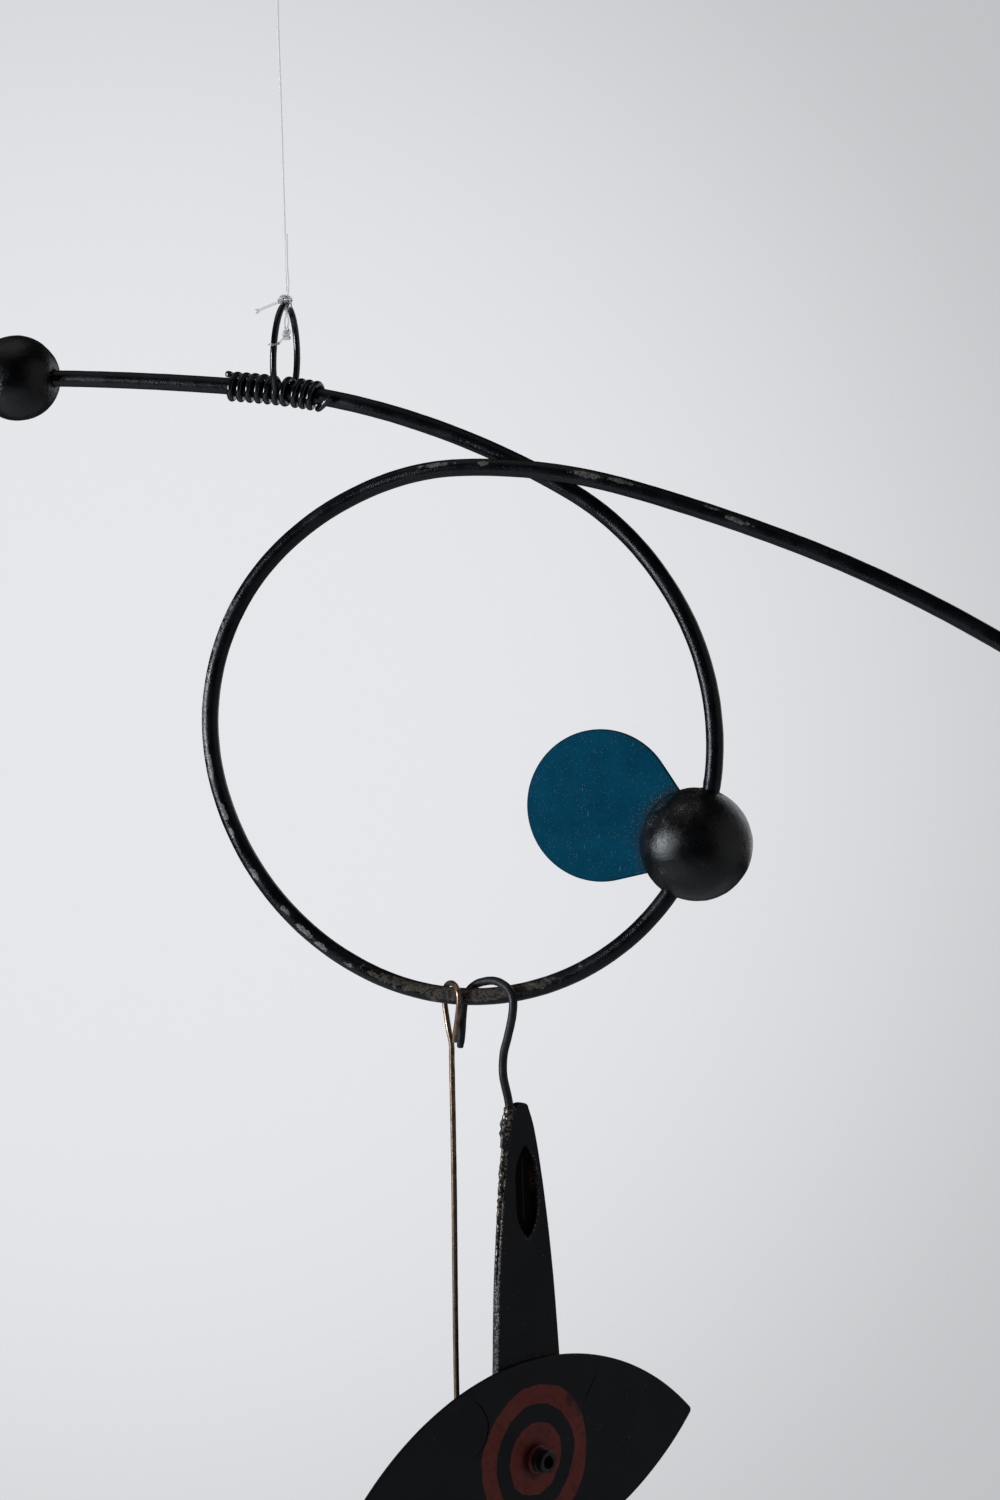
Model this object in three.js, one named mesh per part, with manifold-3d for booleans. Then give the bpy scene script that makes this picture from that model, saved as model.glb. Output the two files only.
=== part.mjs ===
// A hanging mobile: one hand-bent rod with a ring in it, four balls threaded on the rod, a blue petal
// in the ring, and two pieces that hang from the ring's lowest point: a thin wire with a ball, and a
// hook that carries a blade and an eye-shaped plate.
// Millimetres, +Z up, the front faces -Y. The origin is the top of the loop that the mobile hangs by.

import * as THREE from "three";
import { mergeVertices } from "three/addons/utils/BufferGeometryUtils.js";
import Module from "manifold-3d";

const wasm = await Module();
wasm.setup();

// Clearance between pieces that touch
const gap = 0.3;

// Hanging line: clear monofilament with a loop on top and a knot on the eye
const lineDiameter = 0.9;
const lineDrop = 168;
const lineLean = 2;
const loopHeight = 20;
const loopWidth = 9;
const loopKnotDiameter = 3.2;
const eyeKnotDiameter = 4.4;

// Rod, from the left tip on. A bend is a share of its stretch and how far it turns, clockwise from the front
const rodDiameter = 8;
const startHeading = -0.81;
const counterArmLength = 150;
const leadInLength = 354.2;
const ringLength = 638.6;
const leadOutLength = 240;
const farArmLength = 110;
const counterArmBends = [[1, 2.7]];
const leadInBends = [[0.351, 4.2], [0.226, 12.3], [0.226, 11.5], [0.197, 27.4]];
const ringBends = [[0.123, 35.2], [0.157, 50.8], [0.188, 58.7], [0.188, 51], [0.187, 63.2], [0.157, 43]];
const leadOutBends = [[0.333, 17], [0.333, 5.1], [0.334, 7.7]];
const farArmBends = [[1, 7]];
const crossingHold = 34;
const crossingEase = 60;

// Places along the rod
const smallBallToEye = 139;
const crossingToRingBall = 203.6;
const pendantFromBottom = 8.8;
const hookFromBottom = -8.8;

// Eye: one wire that coils round the rod, rises in a hoop and coils on
const eyeWireDiameter = 3.1;
const hoopHeight = 40.5;
const hoopWidth = 25;
const hoopLean = 2;
const frontLegPlace = -2.3;
const backLegPlace = 1.7;
const crossPlace = 0.8;
const crossLean = 1.2;
const longCoilPitch = 4.53;
const longCoilTurns = 5.8;
const shortCoilPitch = 3.95;
const shortCoilTurns = 3.25;
const tailTurns = 0.2;
const tailReach = 6.4;

// Balls
const counterBallDiameter = 47.2;
const smallBallDiameter = 41.3;
const ringBallDiameter = 51;
const endBallDiameter = 41.3;
const pendantBallDiameter = 30;
const rodEndInset = 4;

// Petal: a disc that narrows to a seat in the ring ball
const petalThickness = 1.4;
const petalRadius = 34.3;
const petalReach = 47;
const petalPoint = 60.5;
const petalSeat = 9;
const petalAim = 157.9;

// Pendant: a thin wire with a closed eye round the ring
const pendantWireDiameter = 2.7;
const pendantEyeTurn = 48;
const pendantEyeDrop = 21;
const pendantEyeSlack = 0.5;
const pendantLength = 318;
const pendantShank = 1.1;
const pendantEnd = 2.4;

// Hook: a wire over the ring, brazed to the blade's left side
const hookWireDiameter = 4;
const hookTurn = 30;
const hookHalfWidth = 16.5;
const hookTipDrop = 25;
const hookNeckDrop = 35.2;
const hookLegShares = [0.985, 0.94, 0.88];
const brazeLength = 78;
const brazeSpill = 0.2;
const brazeTaper = 0.3;
const brazeWave = 0.08;
const brazeStretch = 4.2;
const brazeOverlap = 0.75;
const brazeTop = 0.985;
const brazeBite = 0.55;

// Blade and plate, both turned away from the front
const hangerTurn = 61;
const hangerRight = 16.5;
const hangerBack = 3.8;
const hangerDrop = 210.4;
const bladeHeight = 162;
const bladeThickness = 4.2;
const bladeLean = 1.2;
const bladeTopHalf = 4.6;
const bladeBaseHalf = 22;
const slotWidth = 13.3;
const slotLength = 42.5;
const slotHeight = 121.3;
const slotRight = 1.9;
const slotDepth = 3;
const plateThickness = 1.6;
const plateHeight = 90;
const plateArcRadius = 150;
const plateTilt = 0.8;
const plateCornerRadius = 2.2;

// Post through plate and blade
const postShankDiameter = 7;
const postCollarDiameter = 12.4;
const postCollarLength = 2.2;
const postStepDiameter = 11;
const postEndDiameter = 10.2;
const postReach = 8.4;
const postBoreDiameter = 5.7;
const postBoreDepth = 7;
const postHeadDiameter = 12;
const postHeadLength = 2.2;

// Facets
const rodSides = 10;
const rodStep = 14;
const hookSides = 8;
const hookSteps = 34;
const wireSides = 6;
const coilSteps = 10;
const hoopSteps = 12;
const lineSides = 8;
const lineStep = 2.7;
const loopSteps = 14;
const ballSegments = 16;
const beadSegments = 6;
const roundSides = 16;
const edgeSteps = 12;

const degrees = Math.PI / 180;
const rodRadius = rodDiameter / 2;
const lineRadius = lineDiameter / 2;
const eyeWireRadius = eyeWireDiameter / 2;
const pendantWireRadius = pendantWireDiameter / 2;
const hookWireRadius = hookWireDiameter / 2;
const coilReach = rodRadius + gap + eyeWireRadius;

const paint = (color, roughness = 0.45, metalness = 0.2) =>
  new THREE.MeshStandardMaterial({ color, roughness, metalness });
const materials = {
  rodPaint: paint(0x0b0d10, 0.4),
  wirePaint: paint(0x101113, 0.35),
  ballPaint: paint(0x0c0c0e, 0.4, 0),
  petalPaint: paint(0x003e54, 0.6),
  platePaint: paint(0x14161a, 0.6),
  ringPaint: paint(0x46201c, 0.65),
  tarnish: paint(0x6b5140, 0.35, 0.9),
  steel: paint(0x3b3c3b, 0.45, 0.8),
  line: paint(0xe8eef0, 0.1, 0),
};

// Mesh helpers

function named(name, geometry, material) {
  const mesh = new THREE.Mesh(geometry, material);
  mesh.name = name;
  return mesh;
}

function solidOf(geometry) {
  const bare = geometry.clone();
  bare.deleteAttribute("normal");
  bare.deleteAttribute("uv");
  const merged = mergeVertices(bare, 1e-4);
  const index = merged.index.array;
  const triangles = [];
  for (let i = 0; i < index.length; i += 3) {
    const [a, b, c] = [index[i], index[i + 1], index[i + 2]];
    if (a !== b && b !== c && c !== a) triangles.push(a, b, c);
  }
  return new wasm.Manifold(new wasm.Mesh({
    numProp: 3,
    vertProperties: new Float32Array(merged.attributes.position.array),
    triVerts: new Uint32Array(triangles),
  }));
}

function geometryOf(solid) {
  const mesh = solid.getMesh();
  const geometry = new THREE.BufferGeometry();
  geometry.setAttribute("position", new THREE.BufferAttribute(new Float32Array(mesh.vertProperties), 3));
  geometry.setIndex(new THREE.BufferAttribute(new Uint32Array(mesh.triVerts), 1));
  geometry.computeVertexNormals();
  return geometry;
}

function joined(geometries) {
  return geometryOf(geometries.map(solidOf).reduce((whole, piece) => whole.add(piece)));
}

function cut(geometry, ...tools) {
  return geometryOf(tools.reduce((rest, tool) => rest.subtract(solidOf(tool)), solidOf(geometry)));
}

function disc(radius, sides) {
  const corners = Array.from({ length: sides }, (_, i) => {
    const angle = (2 * Math.PI * i) / sides;
    return new THREE.Vector2(radius * Math.cos(angle), radius * Math.sin(angle));
  });
  return new THREE.Shape(corners);
}

function tube(curve, radius, sides, steps) {
  return new THREE.ExtrudeGeometry(disc(radius, sides), { extrudePath: curve, steps });
}

// A tube with one ring of corners at each of the places
function tubeThrough(places, radius, sides) {
  const last = places.length - 1;
  const curve = new (class extends THREE.Curve {
    getPointAt(share, target = new THREE.Vector3()) {
      return target.copy(places[Math.round(share * last)]);
    }

    getTangentAt(share, target = new THREE.Vector3()) {
      const index = Math.round(share * last);
      const before = places[Math.max(index - 1, 0)];
      const after = places[Math.min(index + 1, last)];
      return target.subVectors(after, before).normalize();
    }
  })();
  return tube(curve, radius, sides, last);
}

// A plate that stands upright, its outline towards the front
function slab(shape, thickness) {
  const options = { depth: thickness, bevelEnabled: false, curveSegments: edgeSteps };
  return new THREE.ExtrudeGeometry(shape, options).rotateX(Math.PI / 2);
}

function ball(diameter, place, segments = ballSegments) {
  const rows = 2 * Math.round(segments / 4);
  return new THREE.SphereGeometry(diameter / 2, segments, rows).translate(...place);
}

function smooth(points) {
  return new THREE.CatmullRomCurve3(points, false, "centripetal");
}

// Rod

class BentRod extends THREE.Curve {
  constructor(bends, heading) {
    super();
    this.bends = [];
    this.origin = { x: 0, z: 0 };
    this.sway = () => 0;
    let station = 0;
    let start = { x: 0, z: 0, heading: heading * degrees };
    for (const [length, turn] of bends) {
      const bend = { station, length, start, bendRadius: length / (turn * degrees) };
      this.bends.push(bend);
      start = this.along(bend, length);
      station += length;
    }
    this.total = station;
  }

  along(bend, run) {
    const { x, z, heading } = bend.start;
    const turned = heading - run / bend.bendRadius;
    return {
      x: x - bend.bendRadius * (Math.sin(turned) - Math.sin(heading)),
      z: z + bend.bendRadius * (Math.cos(turned) - Math.cos(heading)),
      heading: turned,
    };
  }

  at(station) {
    const bend = this.bends.findLast((each) => each.station <= station) ?? this.bends[0];
    const { x, z, heading } = this.along(bend, station - bend.station);
    const place = new THREE.Vector3(x - this.origin.x, this.sway(station), z - this.origin.z);
    const forward = new THREE.Vector3(Math.cos(heading), 0, Math.sin(heading));
    const up = new THREE.Vector3(-Math.sin(heading), 0, Math.cos(heading));
    return { place, forward, up, heading };
  }

  getPoint(share, target = new THREE.Vector3()) {
    return target.copy(this.at(share * this.total).place);
  }

  stretch(from, to) {
    const rod = this;
    return new (class extends THREE.Curve {
      getPoint(share, target = new THREE.Vector3()) {
        return target.copy(rod.at(from + share * (to - from)).place);
      }
    })();
  }
}

const stretched = (length, bends) => bends.map(([share, turn]) => [length * share, turn]);
const rod = new BentRod([
  ...stretched(counterArmLength, counterArmBends),
  ...stretched(leadInLength, leadInBends),
  ...stretched(ringLength, ringBends),
  ...stretched(leadOutLength, leadOutBends),
  ...stretched(farArmLength, farArmBends),
], startHeading);
const leadInEnd = counterArmLength + leadInLength;
const ringEnd = leadInEnd + ringLength;

// The lead-in passes behind the lead-out where the ring closes
function findCrossing() {
  let nearest = { distance: Infinity };
  const step = rodDiameter / 8;
  for (let before = leadInEnd - leadInLength / 2; before < leadInEnd; before += step) {
    for (let after = ringEnd - ringLength / 8; after < rod.total; after += step) {
      const distance = rod.at(before).place.distanceTo(rod.at(after).place);
      if (distance < nearest.distance) nearest = { distance, before, after };
    }
  }
  return nearest;
}

const crossing = findCrossing();
const swayWidth = rodRadius + gap;
rod.sway = (station) => {
  const near = (middle) =>
    1 - THREE.MathUtils.smoothstep(Math.abs(station - middle), crossingHold, crossingHold + crossingEase);
  return swayWidth * (near(crossing.before) - near(crossing.after));
};

const smallBallStation = counterArmLength;
const eyeStation = smallBallStation + smallBallToEye;
const ringBallStation = crossing.before + crossingToRingBall;
const underHoop = rod.at(eyeStation + hoopLean).place;
rod.origin = { x: underHoop.x - lineLean, z: underHoop.z + lineDrop + hoopHeight };

function lowestStation() {
  let station = leadInEnd;
  while (rod.at(station).heading > -Math.PI) station += 0.5;
  return station;
}

const bottomStation = lowestStation();

function makeRod() {
  return tube(rod, rodRadius, rodSides, Math.round(rod.total / rodStep));
}

// Balls on the rod: each is drilled along the rod's own bend

function drilledBall(diameter, station) {
  const from = Math.max(station - diameter, -gap);
  const to = Math.min(station + diameter, rod.total + gap);
  const steps = Math.round((to - from) / rodStep);
  const drill = tube(rod.stretch(from, to), rodRadius + gap, rodSides, steps);
  return cut(ball(diameter, rod.at(station).place), drill);
}

// Eye on the rod

function aroundRod(along, turn) {
  const { place, up } = rod.at(eyeStation + along);
  const angle = 2 * Math.PI * turn;
  const across = new THREE.Vector3(0, -coilReach * Math.cos(angle), 0);
  return place.clone().addScaledVector(up, coilReach * Math.sin(angle)).add(across);
}

// Turns count from the front, upwards and over
function coil(points, turns, places) {
  const steps = Math.ceil((turns[1] - turns[0]) * coilSteps);
  for (let i = points.length ? 1 : 0; i <= steps; i += 1) {
    const along = THREE.MathUtils.lerp(places[0], places[1], i / steps);
    points.push(aroundRod(along, THREE.MathUtils.lerp(turns[0], turns[1], i / steps)));
  }
}

// The hoop stands upright, across the rod
function hoop(points) {
  const low = Math.acos((2 * coilReach) / hoopWidth);
  const halfHeight = hoopHeight / (1 + Math.sin(low));
  for (let i = 1; i < hoopSteps; i += 1) {
    const share = i / hoopSteps;
    const angle = Math.PI + low - (Math.PI + 2 * low) * share;
    const leg = share < 0.5 ? frontLegPlace : backLegPlace;
    const lean = THREE.MathUtils.lerp(leg, hoopLean, Math.sin(Math.PI * share));
    const { place } = rod.at(eyeStation + lean);
    place.y += (hoopWidth / 2) * Math.cos(angle);
    place.z += hoopHeight - halfHeight + halfHeight * Math.sin(angle);
    points.push(place);
  }
}

function makeEyeWire() {
  const points = [];
  coil(points, [-longCoilTurns, 0], [frontLegPlace - longCoilPitch * longCoilTurns, frontLegPlace]);
  hoop(points);
  const [back, under, over, backAgain] = [0.5, 0.75, 1.25, 1.5];
  const onPlace = crossPlace + longCoilPitch;
  coil(points, [back, under], [backLegPlace, crossPlace]);
  coil(points, [under, over], [crossPlace, crossPlace + crossLean]);
  coil(points, [over, backAgain], [crossPlace + crossLean, onPlace]);
  const lastTurn = backAgain + shortCoilTurns;
  const lastPlace = onPlace + shortCoilPitch * shortCoilTurns;
  coil(points, [backAgain, lastTurn], [onPlace, lastPlace]);
  coil(points, [lastTurn, lastTurn + tailTurns], [lastPlace, lastPlace + tailReach]);
  return tubeThrough(points, eyeWireRadius, wireSides);
}

// Petal

function petalOutline(margin) {
  const radius = petalRadius + margin;
  const point = radius / Math.sin(Math.asin(petalRadius / petalPoint));
  const tangent = Math.acos(radius / point);
  const seat = petalReach - petalSeat + margin;
  const seatHalf = (point - seat) * (radius / Math.sqrt(point * point - radius * radius));
  const shape = new THREE.Shape();
  shape.moveTo(seat, seatHalf);
  shape.lineTo(radius * Math.cos(tangent), radius * Math.sin(tangent));
  shape.absarc(0, 0, radius, tangent, 2 * Math.PI - tangent, false);
  shape.lineTo(seat, -seatHalf);
  shape.closePath();
  return shape;
}

function placedPetal(margin) {
  const thickness = petalThickness + 2 * margin;
  const geometry = slab(petalOutline(margin), thickness).translate(-petalReach, thickness / 2, 0);
  const middle = rod.at(ringBallStation).place;
  return geometry.rotateY((180 - petalAim) * degrees).translate(middle.x, 0, middle.z);
}

function makeRingBall() {
  return cut(drilledBall(ringBallDiameter, ringBallStation), placedPetal(gap));
}

// Pendant: a thin wire with a closed eye round the ring

const pendantStation = bottomStation + pendantFromBottom;

function inPlane(origin, turn, along, height) {
  return new THREE.Vector3(
    origin.x + along * Math.cos(turn * degrees),
    origin.y - along * Math.sin(turn * degrees),
    origin.z + height,
  );
}

function makePendantWire() {
  const middle = rod.at(pendantStation).place;
  const height = rodRadius + gap + pendantWireRadius;
  const half = height / Math.sin(pendantEyeTurn * degrees) + pendantEyeSlack;
  const flank = [[0.97, -0.2], [0.76, -0.48], [0.46, -0.79]];
  const side = (sign) => flank.map(([share, drop]) => [sign * half * share, pendantEyeDrop * drop]);
  const eye = [
    [-pendantShank, -pendantEyeDrop * 1.4],
    [-pendantShank, -pendantEyeDrop * 1.05],
    ...side(-1).reverse(),
  ];
  const archSteps = 8;
  for (let i = 0; i <= archSteps; i += 1) {
    const angle = Math.PI * (1 - i / archSteps);
    eye.push([half * Math.cos(angle), height * Math.sin(angle)]);
  }
  eye.push(...side(1), [pendantEnd, -pendantEyeDrop]);
  const placed = ([along, up]) => inPlane(middle, pendantEyeTurn, along, up);
  const places = smooth(eye.map(placed)).getSpacedPoints(28);
  return tubeThrough([placed([-pendantShank, -pendantLength]), ...places], pendantWireRadius, wireSides);
}

function makePendantBall() {
  const middle = rod.at(pendantStation).place;
  const place = inPlane(middle, pendantEyeTurn, -pendantShank, -pendantLength + rodEndInset);
  const top = place.clone().add(new THREE.Vector3(0, 0, pendantBallDiameter));
  const floor = place.clone().add(new THREE.Vector3(0, 0, -rodEndInset - gap));
  const drill = tube(new THREE.LineCurve3(floor, top), pendantWireRadius + gap, wireSides, 1);
  return cut(ball(pendantBallDiameter, place), drill);
}

// Blade, plate and post hang in one turned group

const hookPlace = rod.at(bottomStation + hookFromBottom).place;
const hanger = new THREE.Group();
hanger.position.set(hookPlace.x + hangerRight, hookPlace.y + hangerBack, hookPlace.z - hangerDrop);
hanger.rotation.z = hangerTurn * degrees;
hanger.updateMatrixWorld(true);

// Half width of the blade at a height above the post
function bladeSide() {
  const spread = bladeBaseHalf - bladeTopHalf;
  return new THREE.SplineCurve([
    new THREE.Vector2(bladeBaseHalf, 0),
    new THREE.Vector2(bladeTopHalf + 0.87 * spread, bladeHeight * 0.27),
    new THREE.Vector2(bladeTopHalf + 0.7 * spread, bladeHeight * 0.54),
    new THREE.Vector2(bladeTopHalf + 0.43 * spread, bladeHeight * 0.78),
    new THREE.Vector2(bladeTopHalf + 0.18 * spread, bladeHeight * 0.93),
    new THREE.Vector2(bladeTopHalf, bladeHeight * 0.985),
    new THREE.Vector2(bladeTopHalf * 0.5, bladeHeight),
  ]);
}

function bladeOutline(margin) {
  const side = bladeSide().getPoints(edgeSteps);
  const shape = new THREE.Shape();
  shape.absarc(0, 0, bladeBaseHalf + margin, Math.PI, 2 * Math.PI, false);
  for (const { x, y } of side.slice(1)) shape.lineTo(x + margin, y + (y > bladeHeight * 0.99 ? margin : 0));
  for (const { x, y } of side.slice(1).reverse()) {
    shape.lineTo(-x - margin, y + (y > bladeHeight * 0.99 ? margin : 0));
  }
  shape.closePath();
  return shape;
}

function bladeSolid(margin) {
  return slab(bladeOutline(margin), bladeThickness + 2 * margin)
    .translate(0, gap + bladeThickness + margin, 0)
    .rotateY(-bladeLean * degrees);
}

function slotOutline() {
  const half = slotWidth / 2;
  const end = slotLength / 2;
  const shape = new THREE.Shape();
  shape.moveTo(0, -end);
  shape.quadraticCurveTo(half, -end * 0.72, half, -end * 0.3);
  shape.lineTo(half, end * 0.25);
  shape.quadraticCurveTo(half, end * 0.7, 0, end);
  shape.quadraticCurveTo(-half, end * 0.7, -half, end * 0.25);
  shape.lineTo(-half, -end * 0.3);
  shape.quadraticCurveTo(-half, -end * 0.72, 0, -end);
  return shape;
}

function postHole() {
  const radius = postShankDiameter / 2 + gap;
  return new THREE.CylinderGeometry(radius, radius, plateHeight, roundSides);
}

function makeBlade() {
  const pocket = slab(slotOutline(), slotDepth + 1)
    .translate(slotRight, gap + slotDepth, slotHeight)
    .rotateY(-bladeLean * degrees);
  return cut(bladeSolid(0), pocket, postHole());
}

function plateOutline() {
  const rise = plateArcRadius - plateHeight / 2;
  const inner = plateArcRadius - plateCornerRadius;
  const cornerPlace = Math.sqrt(inner * inner - rise * rise);
  const swing = Math.atan2(cornerPlace, rise);
  const shape = new THREE.Shape();
  shape.absarc(0, -rise, plateArcRadius, Math.PI / 2 - swing, Math.PI / 2 + swing, false);
  shape.absarc(-cornerPlace, 0, plateCornerRadius, Math.PI / 2 + swing, 1.5 * Math.PI - swing, false);
  shape.absarc(0, rise, plateArcRadius, 1.5 * Math.PI - swing, 1.5 * Math.PI + swing, false);
  shape.absarc(cornerPlace, 0, plateCornerRadius, swing - Math.PI / 2, Math.PI / 2 - swing, false);
  return shape;
}

function makePlate() {
  const whole = slab(plateOutline(), plateThickness).rotateY(-plateTilt * degrees);
  return cut(whole, postHole());
}

function makePost() {
  const front = -plateThickness - gap;
  const back = bladeThickness + 2 * gap;
  const bore = postBoreDiameter / 2;
  const profile = [
    [0, front - postReach + postBoreDepth],
    [bore, front - postReach + postBoreDepth],
    [bore, front - postReach],
    [postEndDiameter / 2, front - postReach],
    [postEndDiameter / 2, front - postReach * 0.6],
    [postStepDiameter / 2, front - postReach * 0.55],
    [postStepDiameter / 2, front - postCollarLength],
    [postCollarDiameter / 2, front - postCollarLength],
    [postCollarDiameter / 2, front],
    [postShankDiameter / 2, front],
    [postShankDiameter / 2, back],
    [postHeadDiameter / 2, back],
    [postHeadDiameter / 2, back + postHeadLength * 0.6],
    [postHeadDiameter / 2 - 1.5, back + postHeadLength],
    [0, back + postHeadLength],
  ].map(([radius, along]) => new THREE.Vector2(radius, along));
  return new THREE.LatheGeometry(profile, roundSides);
}

// Hook: over the ring, then down the blade's left side, where rough braze holds it

function bladeEdge(height, out) {
  const side = bladeSide().getPoints(60);
  const { x } = side.find(({ y }) => y >= height) ?? side.at(-1);
  const lean = bladeLean * degrees;
  const along = -x - out;
  const local = new THREE.Vector3(
    along * Math.cos(lean) - height * Math.sin(lean),
    gap + bladeThickness / 2,
    along * Math.sin(lean) + height * Math.cos(lean),
  );
  return hanger.localToWorld(local);
}

function makeHook() {
  const seat = rodRadius + gap + hookWireRadius;
  const tip = [[-1.2, -1], [-1.12, -0.65], [-1.01, -0.17]];
  const rise = [[-0.84, 0.14], [-0.5, 0.77], [-0.09, 1.07], [0.27, 1.14]];
  const fall = [[0.59, 0.95], [0.84, 0.59], [0.98, 0.03]];
  const neck = [[1, -0.07], [0.96, -0.21], [0.77, -0.49], [0.6, -0.7], [0.55, -0.84], [0.55, -1]];
  const shaped = (line, size) =>
    line.map(([along, up]) => inPlane(hookPlace, hookTurn, along * hookHalfWidth, up * size));
  const arch = [...shaped(rise, seat), ...shaped(fall, seat)];
  const free = [...shaped(tip, hookTipDrop), ...arch, ...shaped(neck, hookNeckDrop)];
  const legs = hookLegShares.map((share) => bladeEdge(bladeHeight * share, hookWireRadius * brazeBite));
  const wire = tube(smooth([...free, ...legs]), hookWireRadius, hookSides, hookSteps);
  const thickest = bladeThickness + brazeSpill;
  const shortest = thickest * (1 - brazeTaper) * (1 - brazeWave) * brazeStretch;
  const last = Math.ceil(brazeLength / (shortest * brazeOverlap));
  const lumps = Array.from({ length: last + 1 }, (_, i) => {
    const share = i / last;
    const size = thickest * (1 - brazeTaper * share) * (1 + brazeWave * Math.sin(9 * i));
    const place = bladeEdge(bladeHeight * brazeTop - share * brazeLength, size * 0.28);
    return ball(size, [0, 0, 0], beadSegments).scale(1, 1, brazeStretch).translate(...place);
  });
  const grown = bladeSolid(gap).applyMatrix4(hanger.matrixWorld);
  return cut(joined([wire, ...lumps]), grown);
}

// Line, its top loop and its knot

const eyeTop = new THREE.Vector3(lineLean, 0, -lineDrop);
const knotPlace = eyeTop.clone().add(new THREE.Vector3(0, 0, eyeWireRadius + gap + eyeKnotDiameter / 2));
const loopKnotPlace = new THREE.Vector3(0, 0, -loopHeight);

function lineRoute() {
  return [
    [0, 0, -loopHeight - loopKnotDiameter / 2 - gap],
    [0.15, 0, -40],
    [0.75, 0, -70],
    [1.3, 0, -105],
    [1.75, 0, -135],
    [lineLean, 0, knotPlace.z + eyeKnotDiameter / 2 + gap],
  ].map((point) => new THREE.Vector3(...point));
}

function makeLine() {
  const route = smooth(lineRoute());
  return tube(route, lineRadius, lineSides, Math.round(route.getLength() / lineStep));
}

function makeTopLoop() {
  const path = new (class extends THREE.Curve {
    getPoint(share, target = new THREE.Vector3()) {
      const angle = -Math.PI / 2 + 2 * Math.PI * share;
      const half = (loopHeight - lineRadius) / 2;
      const narrow = 0.55 + 0.45 * ((Math.sin(angle) + 1) / 2);
      return target.set(
        (loopWidth / 2) * Math.cos(angle) * narrow, 0, -lineRadius - half + half * Math.sin(angle),
      );
    }
  })();
  const strand = tube(path, lineRadius, wireSides, loopSteps);
  return joined([strand, ball(loopKnotDiameter, loopKnotPlace, beadSegments)]);
}

function makeLineKnot() {
  const reach = eyeWireRadius + gap + lineRadius;
  const wrap = new THREE.TorusGeometry(reach, lineRadius, wireSides, loopSteps)
    .rotateX(Math.PI / 2)
    .translate(...eyeTop);
  return joined([wrap, ball(eyeKnotDiameter, knotPlace, beadSegments)]);
}

const mobile = new THREE.Group();
mobile.add(
  named("hanging_line", makeLine(), materials.line),
  named("line_top_loop", makeTopLoop(), materials.line),
  named("line_knot", makeLineKnot(), materials.line),
  named("rod", makeRod(), materials.rodPaint),
  named("eye_wire", makeEyeWire(), materials.wirePaint),
  named("counterweight_ball", drilledBall(counterBallDiameter, rodEndInset), materials.ballPaint),
  named("small_ball", drilledBall(smallBallDiameter, smallBallStation), materials.ballPaint),
  named("ring_ball", makeRingBall(), materials.ballPaint),
  named("end_ball", drilledBall(endBallDiameter, rod.total - rodEndInset), materials.ballPaint),
  named("petal", placedPetal(0), materials.petalPaint),
  named("pendant_wire", makePendantWire(), materials.tarnish),
  named("pendant_ball", makePendantBall(), materials.ballPaint),
  named("hook_wire", makeHook(), materials.steel),
);
hanger.add(
  named("blade", makeBlade(), materials.platePaint),
  named("eye_plate", makePlate(), materials.platePaint),
  named("centre_post", makePost(), materials.ringPaint),
);
mobile.add(hanger);

export default mobile;
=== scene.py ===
"""A hanging mobile of one bent rod with threaded balls, a petal in its ring, a thin pendant and a
hooked blade that carries an eye-shaped plate. Metres, +Z up, the front faces -Y, and the origin is
the top of the loop that the mobile hangs by."""

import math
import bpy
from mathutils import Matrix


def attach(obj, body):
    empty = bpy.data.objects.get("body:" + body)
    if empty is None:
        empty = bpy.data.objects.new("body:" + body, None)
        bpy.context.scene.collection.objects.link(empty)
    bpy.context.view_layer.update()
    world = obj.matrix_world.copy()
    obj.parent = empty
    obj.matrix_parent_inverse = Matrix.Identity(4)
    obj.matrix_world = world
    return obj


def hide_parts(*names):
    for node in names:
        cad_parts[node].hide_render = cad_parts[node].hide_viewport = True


bl_info = {
    "name": "Hanging Mobile",
    "version": (1, 0, 0),
    "blender": (4, 5, 0),
    "location": "3D View > Sidebar > Mobile",
    "description": "Builds a hanging mobile of bent rod, balls and plates piece by piece",
    "category": "Add Mesh",
}

import bmesh
import bpy
import numpy as np
from mathutils import Matrix, Vector, geometry, noise

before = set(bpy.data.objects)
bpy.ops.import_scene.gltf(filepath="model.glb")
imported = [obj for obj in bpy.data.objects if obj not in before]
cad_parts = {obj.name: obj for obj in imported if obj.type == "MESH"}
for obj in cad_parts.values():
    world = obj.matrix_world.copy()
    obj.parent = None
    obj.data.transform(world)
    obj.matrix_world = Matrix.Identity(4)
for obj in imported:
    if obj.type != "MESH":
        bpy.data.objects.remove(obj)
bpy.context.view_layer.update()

# Clearance between pieces that touch
GAP = 0.0003

# Hanging line, from the knot under its top loop down to the knot on the eye
LINE_ROUTE = (
    (0, 0, -0.0219), (0.00015, 0, -0.04), (0.00075, 0, -0.07),
    (0.0013, 0, -0.105), (0.00175, 0, -0.135), (0.002, 0, -0.16145),
)
LOOP_HEIGHT = 0.02
LOOP_WIDTH = 0.009
EYE_TOP = Vector((0.002, 0, -0.168))
# Small loops in the knot on the eye: turn, tilt and radius
KNOT_LOOPS = (
    (0.4, 0.9, 0.003), (2.2, -0.7, 0.0026), (4.1, 0.3, 0.0032), (5.2, 1.2, 0.0024), (1.2, 1.4, 0.0028),
)
CUT_TAIL = Vector((-0.0142, -0.0012, -0.0046))
# Where the line goes round the hoop's front leg, as a share of the hoop
LEG_TURN_SHARE = 0.215

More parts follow.
